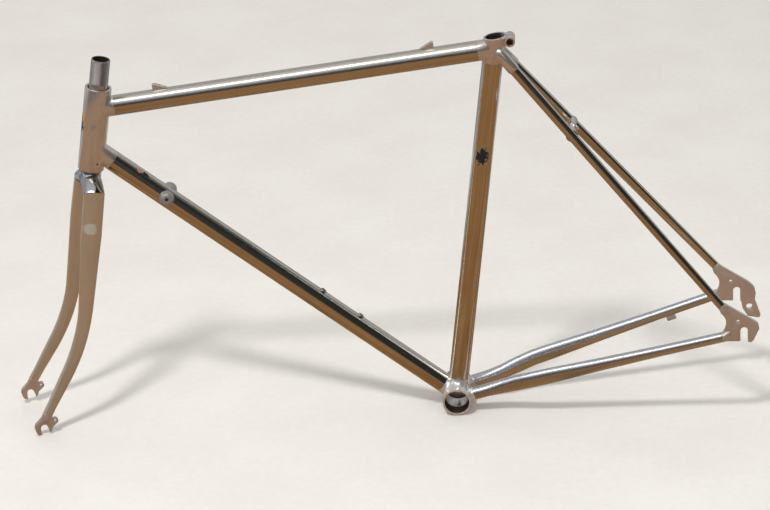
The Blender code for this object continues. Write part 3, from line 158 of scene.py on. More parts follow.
class Shader:
    """Builds the node tree of one material or world."""

    def __init__(self, name: str, world: bool = False) -> None:
        """Make the material or world that owns the tree.

        Args:
            name: Its name.
            world: True for a world and False for a material.
        """
        self.owner = bpy.data.worlds.new(name) if world else bpy.data.materials.new(name)
        self.owner.use_nodes = True
        self.tree = self.owner.node_tree
        self.surface = self.tree.nodes.get("Principled BSDF")
        self.output = self.tree.nodes["World Output" if world else "Material Output"]

    def node(self, kind: str, settings: dict | None = None, sockets: dict | None = None,
             output: int | str = 0) -> Wire:
        """Add a node.

        Args:
            kind: The node's type name.
            settings: Properties, which are set before the sockets.
            sockets: Values or wires for its input sockets, by name or index.
            output: Which output to return.

        Returns:
            The chosen output.
        """
        made = self.tree.nodes.new(kind)
        for key, value in (settings or {}).items():
            setattr(made, key, value)
        for key, value in (sockets or {}).items():
            self.plug(made.inputs[key], value)
        return Wire(self, made.outputs[output])

    def plug(self, target: bpy.types.NodeSocket, value: "Wire | float | tuple") -> None:
        """Link a wire to a socket, or set the socket's value."""
        if isinstance(value, Wire):
            self.tree.links.new(value.socket, target)
        elif isinstance(value, tuple) and len(value) == 3 and target.type == "RGBA":
            target.default_value = (*value, 1.0)
        else:
            target.default_value = value

    def local(self, place: Matrix) -> Wire:
        """Object coordinates in metres, measured in a piece's own frame.

        Args:
            place: Matrix from that frame to the model's frame.

        Returns:
            The coordinate vector.
        """
        coordinate = self.node("ShaderNodeTexCoord", output="Object")
        sockets = {
            "Vector": coordinate,
            "Location": tuple(place.translation),
            "Rotation": tuple(place.to_euler("XYZ")),
        }
        return self.node("ShaderNodeMapping", {"vector_type": "TEXTURE"}, sockets)

    def stretched(self, vector: Wire, scale: Colour, turn: Colour = (0.0, 0.0, 0.0)) -> Wire:
        """Turn a vector and multiply it along each axis."""
        return self.node("ShaderNodeMapping", {"vector_type": "POINT"},
                         {"Vector": vector, "Rotation": turn, "Scale": scale})

    def noise(self, vector: Wire, scale: float, detail: float = 3.0, rough: float = 0.55) -> Wire:
        """Noise from 0 to 1."""
        return self.node("ShaderNodeTexNoise", None,
                         {"Vector": vector, "Scale": scale, "Detail": detail, "Roughness": rough})

    def split(self, vector: Wire) -> tuple[Wire, Wire, Wire]:
        """The three components of a vector."""
        made = self.node("ShaderNodeSeparateXYZ", None, {"Vector": vector}).socket.node
        return Wire(self, made.outputs[0]), Wire(self, made.outputs[1]), Wire(self, made.outputs[2])

    def join(self, x: Wire | float, y: Wire | float, z: Wire | float) -> Wire:
        """A vector from three components."""
        return self.node("ShaderNodeCombineXYZ", None, {0: x, 1: y, 2: z})

    def blend(self, factor: Wire | float, first: Wire | Colour, second: Wire | Colour) -> Wire:
        """Mix two colours."""
        return self.node("ShaderNodeMix", {"data_type": "RGBA"},
                         {0: factor, 6: first, 7: second}, output=2)

    def ramp(self, share: Wire, stops: tuple[tuple[float, Colour], ...]) -> Wire:
        """Colour ramp.

        Args:
            share: Where to read the ramp, from 0 to 1.
            stops: Positions and their colours, in order.

        Returns:
            The colour.
        """
        colour = self.node("ShaderNodeValToRGB", None, {"Fac": share})
        elements = colour.socket.node.color_ramp.elements
        elements.remove(elements[-1])
        for index, (position, value) in enumerate(stops):
            element = elements.new(position) if index else elements[0]
            element.position = position
            element.color = (*value, 1.0)
        return colour

    def finish(self, **sockets: Wire | float | Colour) -> bpy.types.Material:
        """Plug the Principled shader's sockets and return the material.

        Args:
            sockets: Values by socket name, with underscores in place of spaces.

        Returns:
            The material.
        """
        for key, value in sockets.items():
            self.plug(self.surface.inputs[key.replace("_", " ")], value)
        return self.owner


# ---------------------------------------------------------------- finishes


class Grain(Enum):
    """Which way the fine polishing lines of a metal run."""

    LENGTHWISE = "along the piece"
    TURNED = "round the piece"
    CAST = "no direction"


@dataclass(frozen=True)
class Mark:
    """A worn mark on the outer side of a piece, in that piece's own frame."""

    along: float
    offset: float
    half_long: float
    half_wide: float
    colour: Colour
    ragged: float = 0.8
    turn: float = 0.0
    scale: float = 160.0
    cover: float = 1.0


@dataclass(frozen=True)
class Metal:
    """A metal finish: its colours, gloss and the wear that it shows."""

    name: str
    slot: str
    colour: Colour
    tarnish: Colour
    roughness: float
    grain: Grain
    haze: float = 0.10
    grain_depth: float = 0.20
    scratches: float = 0.14
    pits: float = 0.0
    edge: float = 0.0
    tarnish_amount: float = 0.45
    metallic: float = 1.0
    # Near-black colour inside a bore: painted shade, not the metal's own colour.
    bore_shade_colour: Colour = (0.035, 0.030, 0.026)

    def grain_of(self, shader: Shader, local: Wire) -> tuple[Wire, Wire]:
        """Fine lines and broad streaks for this grain.

        Args:
            shader: The material's builder.
            local: Coordinates in the piece's own frame.

        Returns:
            The fine lines and the broad streaks, each from 0 to 1.
        """
        if self.grain is Grain.LENGTHWISE:
            fine = shader.noise(shader.stretched(local, (6.0, 900.0, 900.0)), 1.0, 2.0)
            broad = shader.noise(shader.stretched(local, (2.5, 120.0, 120.0)), 1.0, 3.0)
            return fine, broad
        if self.grain is Grain.TURNED:
            x, y, z = shader.split(local)
            radius = (y * y + z * z) ** 0.5
            fine = shader.noise(shader.join(x * 2600.0, radius * 2600.0, 0.0), 1.0, 2.0)
            broad = shader.noise(shader.join(x * 260.0, radius * 260.0, 0.0), 1.0, 2.0)
            return fine, broad
        fine = shader.noise(local, 1500.0, 3.0)
        broad = shader.noise(local, 130.0, 4.0)
        return fine, broad

    def material(self, name: str, place: Matrix, marks: tuple[Mark, ...] = (),
                 bore: float = 0.0) -> bpy.types.Material:
        """Build the material of one piece.

        Args:
            name: The piece's name.
            place: The piece's own frame, with +X along it and +Y to its outer side.
            marks: Worn marks on it.
            bore: Radius about +X inside which the colour is darkened as painted shade and the metal is
                rougher, or 0 for none.

        Returns:
            The material.
        """
        shader = Shader(f"{self.name} {name}")
        local = shader.local(place)
        fine, broad = self.grain_of(shader, local)
        cloud = shader.noise(local, 22.0, 5.0, 0.6)
        smudge = shader.noise(local, 48.0, 6.0, 0.62).above(0.50, 0.74)
        lines = shader.stretched(local, (35.0, 1100.0, 700.0), (0.35, 0.22, 0.16))
        crossed = shader.stretched(local, (900.0, 60.0, 900.0), (0.1, 0.5, 0.7))
        scratch = shader.noise(lines, 1.0, 1.0).above(0.70, 0.76)
        scratch = scratch + shader.noise(crossed, 1.0, 1.0).above(0.73, 0.79)
        scratch = scratch * shader.noise(local, 35.0, 2.0).above(0.42, 0.62)
        tarnish = (cloud.above(0.35, 0.75) * 0.6 + broad * 0.5) * self.tarnish_amount
        colour = shader.blend(tarnish, self.colour, self.tarnish)
        speck = shader.noise(local, 620.0, 2.0).above(0.74, 0.80) * self.pits
        dark = tuple(part * 0.35 for part in self.tarnish)
        colour = shader.blend(speck, colour, dark)
        rough = self.roughness + smudge * self.haze + scratch * self.scratches + fine * 0.05 + speck * 0.2
        height = fine * self.grain_depth - scratch * self.scratches * 2.0 - speck + broad * 0.15
        normal_settings = {}
        if self.edge:
            rounded = shader.node("ShaderNodeBevel", {"samples": 4}, {"Radius": self.edge})
            normal_settings["Normal"] = rounded
        metallic: Wire | float = self.metallic + cloud * 0.02
        # Painted shade: inside the bore the colour is blended towards near-black, and the roughness is
        # raised there as well.
        if bore:
            _, y, z = shader.split(local)
            inside = 1.0 - ((y * y + z * z) ** 0.5).above(bore, bore * 1.02)
            colour = shader.blend(inside * (0.8 + cloud * 0.2), colour, self.bore_shade_colour)
            rough = rough + inside * 0.25
        for mark in marks:
            mask = self.mark_mask(shader, local, mark) * mark.cover
            colour = shader.blend(mask, colour, mark.colour)
            rough = rough * (1.0 - mask) + mask * 0.48
            metallic = (1.0 - mask) * metallic
        bump = shader.node("ShaderNodeBump", None,
                           {"Strength": 0.22, "Distance": 0.00012, "Height": height, **normal_settings})
        return shader.finish(Base_Color=colour, Metallic=metallic, Roughness=rough, Normal=bump)

    @staticmethod
    def mark_mask(shader: Shader, local: Wire, mark: Mark) -> Wire:
        """Ragged oval, 1 inside the mark and 0 outside it."""
        x, y, z = shader.split(local)
        cosine, sine = math.cos(math.radians(mark.turn)), math.sin(math.radians(mark.turn))
        outer = y * cosine + z * sine
        u = (x - mark.along) / mark.half_long
        v = (z * cosine - y * sine - mark.offset) / mark.half_wide
        torn = shader.noise(local, mark.scale, 4.0, 0.65) - 0.5
        inside = 1.0 - (u * u + v * v) ** 0.5 + torn * (mark.ragged * 2.0)
        return inside.above(0.0, 0.12) * outer.above(0.0, 0.002)


POLISHED_TUBE = Metal("polished tube", "aluminium_tube", (0.90, 0.87, 0.82), (0.68, 0.60, 0.50), 0.12,
                      Grain.LENGTHWISE, haze=0.07, grain_depth=0.28)
SOFT_TUBE = Metal("soft polished tube", "aluminium_tube", (0.91, 0.89, 0.85), (0.74, 0.67, 0.58), 0.20,
                  Grain.LENGTHWISE, haze=0.04, grain_depth=0.18)
STAY_TUBE = Metal("brushed stay", "aluminium_tube", (0.86, 0.89, 0.94), (0.74, 0.75, 0.76), 0.25,
                  Grain.LENGTHWISE, haze=0.03, grain_depth=0.12, scratches=0.05, tarnish_amount=0.3)
BLADE_TUBE = Metal("satin blade", "aluminium_tube", (0.86, 0.78, 0.66), (0.74, 0.62, 0.49), 0.33,
                   Grain.LENGTHWISE, haze=0.08, scratches=0.08, metallic=0.86)
CAST_LUG = Metal("polished casting", "cast_aluminium", (0.90, 0.84, 0.79), (0.72, 0.62, 0.54), 0.19,
                 Grain.CAST, haze=0.05, grain_depth=0.12, pits=0.15, edge=0.0009, tarnish_amount=0.3,
                 metallic=0.89)
SATIN_PLATE = Metal("satin plate", "cast_aluminium", (0.80, 0.72, 0.66), (0.60, 0.50, 0.43), 0.28,
                    Grain.CAST, haze=0.10, grain_depth=0.3, pits=0.5, edge=0.0009, metallic=0.82)
TURNED_SHELL = Metal("turned casting", "cast_aluminium", (0.88, 0.87, 0.85), (0.62, 0.58, 0.53), 0.20,
                     Grain.TURNED, haze=0.06, grain_depth=0.30, pits=0.15, edge=0.0007, tarnish_amount=0.3,
                     metallic=0.74)
THREADED_BORE = Metal("oiled thread", "cast_aluminium", (0.34, 0.28, 0.21), (0.18, 0.14, 0.10), 0.30,
                      Grain.TURNED, haze=0.12, pits=0.6)
MIRROR_CROWN = Metal("mirror crown", "polished_crown", (0.60, 0.64, 0.70), (0.50, 0.52, 0.55), 0.035,
                     Grain.CAST, haze=0.04, grain_depth=0.04, scratches=0.10, pits=0.2, edge=0.0007,
                     tarnish_amount=0.2)
BARE_STEEL = Metal("bare steel", "steel", (0.62, 0.62, 0.62), (0.48, 0.45, 0.42), 0.22,
                   Grain.TURNED, haze=0.02, grain_depth=0.30, scratches=0.04, edge=0.0004,
                   tarnish_amount=0.2, metallic=0.92)
BLACK_STEEL = Metal("blackened steel", "dark_steel", (0.10, 0.10, 0.105), (0.20, 0.15, 0.11), 0.34,
                    Grain.TURNED, haze=0.12, pits=0.8, edge=0.0004)
PLATED_INSERT = Metal("plated insert", "steel_insert", (0.56, 0.53, 0.49), (0.30, 0.24, 0.18), 0.28,
                      Grain.TURNED, haze=0.10, pits=0.6, edge=0.0003)
MATTE_BOSS = Metal("matte boss", "satin_boss", (0.42, 0.42, 0.41), (0.32, 0.30, 0.28), 0.38,
                   Grain.TURNED, haze=0.12, pits=0.4, edge=0.0005, metallic=0.7)
# Near-black finish for the vent disc: painted shade standing in for the dark inside of a hole.
PAINTED_HOLE_SHADE = Metal("dark hollow", "dark_steel", (0.03, 0.03, 0.03), (0.06, 0.05, 0.04), 0.6, Grain.CAST)


# ---------------------------------------------------------------- layout


class Layout:
    """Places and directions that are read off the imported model."""

    def __init__(self, nodes: dict[str, bpy.types.Object], record: dict) -> None:
        """Read the steering axis, the fork's own sideways direction and the bracket's centre.

        Args:
            nodes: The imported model's objects by name.
            record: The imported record.
        """
        self.nodes = nodes
        joint = record["behaviour"]["joints"][0]
        self.steering_foot = Vector(joint["pos_m"])
        self.steering_up = Vector(joint["axis"]).normalized()
        left = self.centre("fork_blade_left")
        right = self.centre("fork_blade_right")
        self.fork_left = (left - right).normalized()
        low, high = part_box("bottom_bracket_shell")
        mounts = {mount["name"]: Vector(mount["pos_m"]) for mount in record["mounts"]}
        self.mounts = mounts
        openings = {opening["name"]: opening["box_m"] for opening in record["physics"]["openings"]}
        shell_box = openings["shell_bore"]
        self.bracket = (Vector(shell_box[0]) + Vector(shell_box[1])) / 2
        self.shell_half = (high.y - low.y) / 2

    def points(self, node: str) -> np.ndarray:
        """Every vertex of a node, as rows."""
        mesh = self.nodes[node].data
        flat = np.empty(len(mesh.vertices) * 3, np.float32)
        mesh.vertices.foreach_get("co", flat)
        return flat.reshape(-1, 3).astype(float)

    def centre(self, node: str) -> Vector:
        """Middle of a node's vertices."""
        return Vector(self.points(node).mean(axis=0))

    def place(self, node: str, outer: Vector = ACROSS, along: Vector | None = None) -> Matrix:
        """A piece's own frame: +X along it, upward or forward, and +Y to its outer side.

        Args:
            node: The node's name.
            outer: Direction of its outer side.
            along: Its length's direction, or None to read it off the node.

        Returns:
            Matrix from that frame to the model's frame.
        """
        rows = self.points(node)
        middle = (rows.min(axis=0) + rows.max(axis=0)) / 2
        if along is None:
            spread = np.cov((rows - rows.mean(axis=0)).T)
            along = Vector(np.linalg.eigh(spread)[1][:, -1])
            if along.z < -LEVEL_SLOPE or (abs(along.z) <= LEVEL_SLOPE and along.x < 0):
                along = -along
        return axes(Vector(middle), along, outer)

    def reach(self, node: str, place: Matrix) -> tuple[float, float]:
        """Lowest and highest distance of a node along its own frame's +X."""
        direction = np.array(place.to_3x3().col[0])
        steps = (self.points(node) - np.array(place.translation)) @ direction
        return float(steps.min()), float(steps.max())


def axes(origin: Vector, along: Vector, outer: Vector) -> Matrix:
    """Matrix with +X along one direction and +Y as near to another as it can be."""
    x = along.normalized()
    y = (outer - x * outer.dot(x)).normalized()
    return Matrix.Translation(origin) @ Matrix((x, y, x.cross(y))).transposed().to_4x4()


# ---------------------------------------------------------------- pieces


class Workshop:
    """Makes finished pieces and keeps count of them."""

    def __init__(self, layout: Layout) -> None:
        """Keep the layout that places are read from."""
        self.layout = layout
        self.bodies = {FRAME_BODY: 0, FORK_BODY: 0}

    def body_of(self, node: str) -> str:
        """Name of the body that holds a node."""
        return self.layout.nodes[node]["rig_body"]

    def place_mesh(self, name: str, bm: bmesh.types.BMesh, body: str,
                   material: bpy.types.Material, sharp: float = 32.0) -> bpy.types.Object:
        """Turn a finished bmesh into a piece that rides on a body.

        Args:
            name: The piece's name.
            bm: The mesh, in the model's frame. It is freed.
            body: The body that it rides on.
            material: Its finish.
            sharp: Angle in degrees above which an edge stays sharp.

        Returns:
            The piece.
        """
        mesh = bpy.data.meshes.new(name)
        bm.to_mesh(mesh)
        bm.free()
        mesh.shade_smooth()
        mesh.set_sharp_from_angle(angle=math.radians(sharp))
        mesh.materials.append(material)
        piece = bpy.data.objects.new(name, mesh)
        bpy.context.scene.collection.objects.link(piece)
        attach(piece, body)
        self.bodies[body] += 1
        LOG.info("%s: %d faces on %s", name, len(mesh.polygons), body)
        return piece

    def dressed(self, node: str, metal: Metal, place: Matrix | None = None, marks: tuple[Mark, ...] = (),
                bevel: float = 0.0, outer: Vector = ACROSS, bent: bool = False,
                bore: float = 0.0) -> bpy.types.Object:
        """Copy a node, merge it, round its edges and finish it. The copy stands for the node.

        Args:
            node: The node's name.
            metal: Its finish.
            place: Its own frame, or None to read it off the node.
            marks: Worn marks on it.
            bevel: Width of its rounded edges in metres, or 0 for none.
            outer: Direction of its outer side.
            bent: True for a bent tube, whose small facets are kept.
            bore: Radius about its own +X inside which the metal gets painted shade, or 0 for none.

        Returns:
            The piece.
        """
        place = place or self.layout.place(node, outer)
        bm = bmesh.new()
        bm.from_mesh(self.layout.nodes[node].data)
        for layer in list(bm.loops.layers.float_vector):
            bm.loops.layers.float_vector.remove(layer)
        bmesh.ops.remove_doubles(bm, verts=bm.verts, dist=MERGE_DISTANCE)
        if not bent:
            bmesh.ops.dissolve_limit(bm, angle_limit=FLAT_ANGLE, verts=bm.verts, edges=bm.edges)
        if bevel:
            round_edges(bm, bevel)
        piece = self.place_mesh(node + "_skin", bm, self.body_of(node),
                                metal.material(node, place, marks, bore))
        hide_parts(node)
        return piece

    def turned(self, name: str, profile: list[tuple[float, float]], place: Matrix, body: str, metal: Metal,
               steps: int = 48) -> bpy.types.Object:
        """Turn a closed profile about the +X axis of a place.

        Args:
            name: The piece's name.
            profile: (distance along, radius) pairs in metres; they make a closed loop.
            place: The frame that the profile is turned in.
            body: The body that it rides on.
            metal: Its finish.
            steps: Number of steps round.

        Returns:
            The piece.
        """
        bm = bmesh.new()
        corners = [bm.verts.new((along, radius, 0.0)) for along, radius in profile]
        edges = [bm.edges.new((a, b)) for a, b in zip(corners, corners[1:] + corners[:1])]
        bmesh.ops.spin(bm, geom=corners + edges, cent=(0.0, 0.0, 0.0), axis=(1.0, 0.0, 0.0),
                       angle=2 * math.pi, steps=steps, use_merge=True, use_duplicate=False)
        bmesh.ops.remove_doubles(bm, verts=bm.verts, dist=TURNED_MERGE_DISTANCE)
        bmesh.ops.recalc_face_normals(bm, faces=bm.faces)
        bmesh.ops.transform(bm, matrix=place, verts=bm.verts)
        return self.place_mesh(name, bm, body, metal.material(name, place))


def round_edges(bm: bmesh.types.BMesh, width: float) -> None:
    """Round the sharp convex edges of a closed mesh.

    Args:
        bm: The mesh.
        width: Width of the rounding in metres.
    """
    sharp = [edge for edge in bm.edges
             if edge.is_manifold and edge.is_convex and edge.calc_face_angle(0.0) > BEVEL_ANGLE
             and edge.calc_length() > width * 1.5]
    bmesh.ops.bevel(bm, geom=sharp, offset=width, offset_type="OFFSET", segments=2, profile=0.5,
                    affect="EDGES", clamp_overlap=True, material=-1, loop_slide=True)


@dataclass
class MainTubes:
    """Top tube, down tube and seat tube, with the worn marks that their stickers left."""

    shop: Workshop
    residue_height: float = 0.692
    residue_long: float = 0.0125
    residue_wide: float = 0.0085
    red_fleck: float = 0.935
    dark_fleck: float = 0.917
    fleck_long: float = 0.0042
    fleck_wide: float = 0.0035
    fleck_turn: float = 66.0
    black: Colour = (0.012, 0.012, 0.014)
    red: Colour = (0.30, 0.040, 0.016)

    def along(self, node: str, share: float) -> float:
        """Distance from a tube's middle to this share of its length, from its lower or rear end."""
        place = self.shop.layout.place(node)
        low, high = self.shop.layout.reach(node, place)
        return low + (high - low) * share

    def build(self) -> None:
        """Dress the three tubes."""
        self.shop.dressed("top_tube", SOFT_TUBE)
        residue = Mark(self.along("seat_tube", self.residue_height), 0.0, self.residue_long,
                       self.residue_wide, self.black, ragged=1.7, scale=300.0)
        self.shop.dressed("seat_tube", POLISHED_TUBE, marks=(residue,))
        red = Mark(self.along("down_tube", self.red_fleck), 0.0, self.fleck_long, self.fleck_wide,
                   self.red, ragged=1.1, scale=520.0, turn=self.fleck_turn, cover=0.85)
        dark = Mark(self.along("down_tube", self.dark_fleck), 0.0, self.fleck_long * 1.4,
                    self.fleck_wide, self.black, ragged=1.3, scale=420.0, turn=self.fleck_turn)
        self.shop.dressed("down_tube", POLISHED_TUBE, marks=(red, dark))


@dataclass
class HeadJoint:
    """Head tube with its rivet, its vent drawn as a near-black disc of painted shade, and what is left of
    its badge.
    """

    shop: Workshop
    radius: float = 0.018
    rivet_height: float = 0.0680
    rivet_radius: float = 0.0031
    vent_height: float = 0.0123
    vent_turn: float = 33.0
    vent_radius: float = 0.0013
    badge_height: float = 0.0680
    badge_half: float = 0.0135
    badge_wide: float = 0.0070
    badge_offset: float = 0.0060
    badge_colour: Colour = (0.05, 0.04, 0.03)
    gilt_rise: float = 0.008
    gilt_half: float = 0.0080
    gilt_wide: float = 0.0022
    gilt_offset: float = 0.0100
    gilt_colour: Colour = (0.42, 0.27, 0.07)
    badge_turn: float = -90.0

    def build(self) -> None:
        """Dress the head tube and add its small pieces."""
        layout = self.shop.layout
        place = axes(layout.steering_foot, layout.steering_up, ACROSS)
        badge = Mark(self.badge_height, self.badge_offset, self.badge_half, self.badge_wide,
                     self.badge_colour, ragged=1.2, turn=self.badge_turn, scale=300.0)
        gilt = Mark(self.badge_height + self.gilt_rise, self.gilt_offset, self.gilt_half, self.gilt_wide,
                    self.gilt_colour, ragged=1.2, turn=self.badge_turn, scale=420.0)
        self.shop.dressed("head_tube", CAST_LUG, place=place, marks=(badge, gilt), bevel=0.0003)
        self.small_round("head_tube_rivet", self.rivet_height, 0.0, self.rivet_radius, MATTE_BOSS)
        # The vent is a small solid disc whose near-black colour is painted shade standing in for the hole.
        self.small_round("head_tube_vent", self.vent_height, self.vent_turn, self.vent_radius, PAINTED_HOLE_SHADE)

    def small_round(self, name: str, height: float, turn: float, size: float, metal: Metal) -> None:
        """Add a small round piece on the left of the head tube.

        Args:
            name: The piece's name.
            height: Distance above the head tube's foot.
            turn: How far it lies behind the left side, in degrees.
            size: Its radius.
            metal: Its finish.
        """
        layout = self.shop.layout
        rear = layout.steering_up.cross(ACROSS)
        rear = rear if rear.x < 0 else -rear
        angle = math.radians(turn)
        outward = ACROSS * math.cos(angle) + rear * math.sin(angle)
        centre = layout.steering_foot + layout.steering_up * height + outward * self.radius
        place = axes(centre, outward, layout.steering_up)
        eps = size * 0.02
        profile = [(-size * 0.3, eps), (-size * 0.3, size), (0.00005, size), (size * 0.09, size * 0.92),
                   (size * 0.02, size * 0.74), (size * 0.01, size * 0.62), (size * 0.12, size * 0.45),
                   (size * 0.15, eps)]
        self.shop.turned(name, profile, place, FRAME_BODY, metal, steps=32)


@dataclass
class BracketShell:
    """Bottom bracket shell with the threads inside both of its ends."""

    shop: Workshop
    bore_radius: float = 0.0174
    thread_inset: float = 0.0016
    thread_length: float = 0.020
    pitch: float = 0.00106
    depth: float = 0.00035
    wall_gap: float = 0.00003
    root: float = 0.0001

    def build(self) -> None:
        """Dress the shell and thread it."""
        layout = self.shop.layout
        place = axes(layout.bracket, ACROSS, UP)
        self.shop.dressed("bottom_bracket_shell", TURNED_SHELL, place=place, bevel=0.0005)
        for name, side in (("left", 1.0), ("right", -1.0)):
            start = side * (layout.shell_half - self.thread_inset)
            profile = self.thread(start, -side)
            self.shop.turned("shell_thread_" + name, profile, place, FRAME_BODY, THREADED_BORE, steps=64)

    def thread(self, start: float, way: float) -> list[tuple[float, float]]:
        """Profile of a run of thread crests inside the bore."""
        wall = self.bore_radius - self.wall_gap
        count = int(self.thread_length / self.pitch)
        inner = [(start, wall - self.root)]
        for i in range(count):
            foot = start + way * self.pitch * i
            inner.append((foot + way * self.pitch * 0.5, wall - self.depth))
            inner.append((foot + way * self.pitch, wall - self.root))
        return [(start, wall), *inner, (start + way * self.pitch * count, wall)]


@dataclass
class RearTriangle:
    """Chainstays, seatstays, their bridge and the dropouts."""

    shop: Workshop
    plate_edge: float = 0.0005

    def build(self) -> None:
        """Dress every piece of the rear triangle."""
        for side, sign in (("left", 1.0), ("right", -1.0)):
            outer = ACROSS * sign
            self.shop.dressed("chainstay_" + side, STAY_TUBE, outer=outer, bent=True)
            self.shop.dressed("seatstay_" + side, POLISHED_TUBE, outer=outer)
            self.shop.dressed("dropout_" + side, SATIN_PLATE, outer=outer, bevel=self.plate_edge)
        self.shop.dressed("brake_bridge", CAST_LUG, place=self.shop.layout.place("brake_bridge", UP, ACROSS),
                          bevel=0.0003)
        self.shop.dressed("chainstay_cable_stop", CAST_LUG, bevel=0.0002)


@dataclass
class SeatCluster:
    """Seat lug with its clamp bolt and nut."""

    shop: Workshop
    post_radius: float = 0.01265

    def build(self) -> None:
        """Dress the lug and its bolt."""
        barrel = self.shop.layout.place("seat_tube")
        # The seat post bore gets painted shade: its inside is coloured near-black.
        self.shop.dressed("seat_lug", CAST_LUG, place=barrel, bevel=0.0003, bore=self.post_radius)
        for node in ("seat_binder_bolt", "seat_binder_nut"):
            place = self.shop.layout.place(node, UP, ACROSS)
            self.shop.dressed(node, BLACK_STEEL, place=place, bevel=0.0002)


@dataclass
class Fittings:
    """Lever bosses, bottle inserts and cable stops."""

    shop: Workshop

    def build(self) -> None:
        """Dress the small fittings."""
        layout = self.shop.layout
        for side, sign in (("left", 1.0), ("right", -1.0)):
            node = "shift_boss_" + side
            outward = layout.mounts[node + "_face"] - layout.centre(node)
            place = axes(layout.centre(node), outward, UP)
            self.shop.dressed(node, MATTE_BOSS, place=place, bevel=0.0003)
        for level in ("lower", "upper"):
            self.shop.dressed("bottle_boss_" + level, PLATED_INSERT, bevel=0.0001)
        for end in ("front", "rear"):
            self.shop.dressed("top_cable_stop_" + end, CAST_LUG, bevel=0.0003)


@dataclass
class Fork:
    """Steerer, crown race, crown, blades and fork ends."""

    shop: Workshop
    stem_radius: float = 0.0114
    thread_run: float = 0.033
    pitch: float = 0.00106
    depth: float = 0.00030
    thread_inset: float = 0.0008
    root: float = 0.00006
    skin: float = 0.00001
    sticker_share: float = 0.157
    sticker_long: float = 0.0085
    sticker_wide: float = 0.0092
    sticker_colour: Colour = (0.20, 0.18, 0.16)

    def build(self) -> None:
        """Dress the fork and thread its steerer."""
        layout = self.shop.layout
        axis = axes(layout.steering_foot, layout.steering_up, layout.fork_left)
        self.shop.dressed("crown_race", BARE_STEEL, place=axis, bevel=0.0003)
        # The steerer's bore gets painted shade: its inside is coloured near-black.
        self.shop.dressed("steerer_tube", BARE_STEEL, place=axis, bevel=0.0003, bore=self.stem_radius)
        self.steerer_thread(axis)
        self.shop.dressed("fork_crown", MIRROR_CROWN, place=axis, bevel=0.0004)
        for side, sign in (("left", 1.0), ("right", -1.0)):
            outer = layout.fork_left * sign
            node = "fork_blade_" + side
            place = layout.place(node, outer)
            marks = self.sticker(node, place) if side == "left" else ()
            self.shop.dressed(node, BLADE_TUBE, place=place, marks=marks)
            self.shop.dressed("fork_end_" + side, SATIN_PLATE, outer=outer, bevel=0.0005)

    def sticker(self, node: str, place: Matrix) -> tuple[Mark, ...]:
        """Plain blank sticker, worn at its rim. It holds no picture and no lettering."""
        low, high = self.shop.layout.reach(node, place)
        along = high - (high - low) * self.sticker_share
        return (Mark(along, 0.0, self.sticker_long, self.sticker_wide, self.sticker_colour, ragged=0.22,
                     scale=300.0, cover=0.6),)

    def steerer_thread(self, axis: Matrix) -> None:
        """Fine thread over the top of the steerer."""
        layout = self.shop.layout
        _, high = layout.reach("steerer_tube", axis)
        rows = layout.points("steerer_tube") - np.array(axis.translation)
        direction = np.array(axis.to_3x3().col[0])
        radius = float(np.linalg.norm(rows - np.outer(rows @ direction, direction), axis=1).max())
        start = high - self.thread_inset
        count = int(self.thread_run / self.pitch)
        crests = [(start, radius + self.root)]
        for i in range(count):
            foot = start - self.pitch * i
            crests.append((foot - self.pitch * 0.5, radius + self.depth))
            crests.append((foot - self.pitch, radius + self.root))
        end = start - self.pitch * count
        profile = [(start, radius + self.skin), *crests, (end, radius + self.skin)]
        self.shop.turned("steerer_thread", profile, axis, FORK_BODY, BARE_STEEL, steps=64)


# ---------------------------------------------------------------- studio


@dataclass(frozen=True)
class Lamp:
    """A round area light that points at the camera's target."""

    name: str
    direction: tuple[float, float, float]
    distance: float
    size: float
    power: float
    colour: Colour


LAMPS = (
    Lamp("key_softbox", (0.22, 0.45, 0.87), 4.0, 0.55, 90.0, (1.0, 0.98, 0.95)),
    Lamp("fill_front", (-0.7, 0.7, 0.5), 4.5, 2.6, 26.0, (0.93, 0.96, 1.0)),
    Lamp("fill_back", (0.3, -0.8, 0.6), 4.5, 2.4, 22.0, (1.0, 0.97, 0.92)),
)


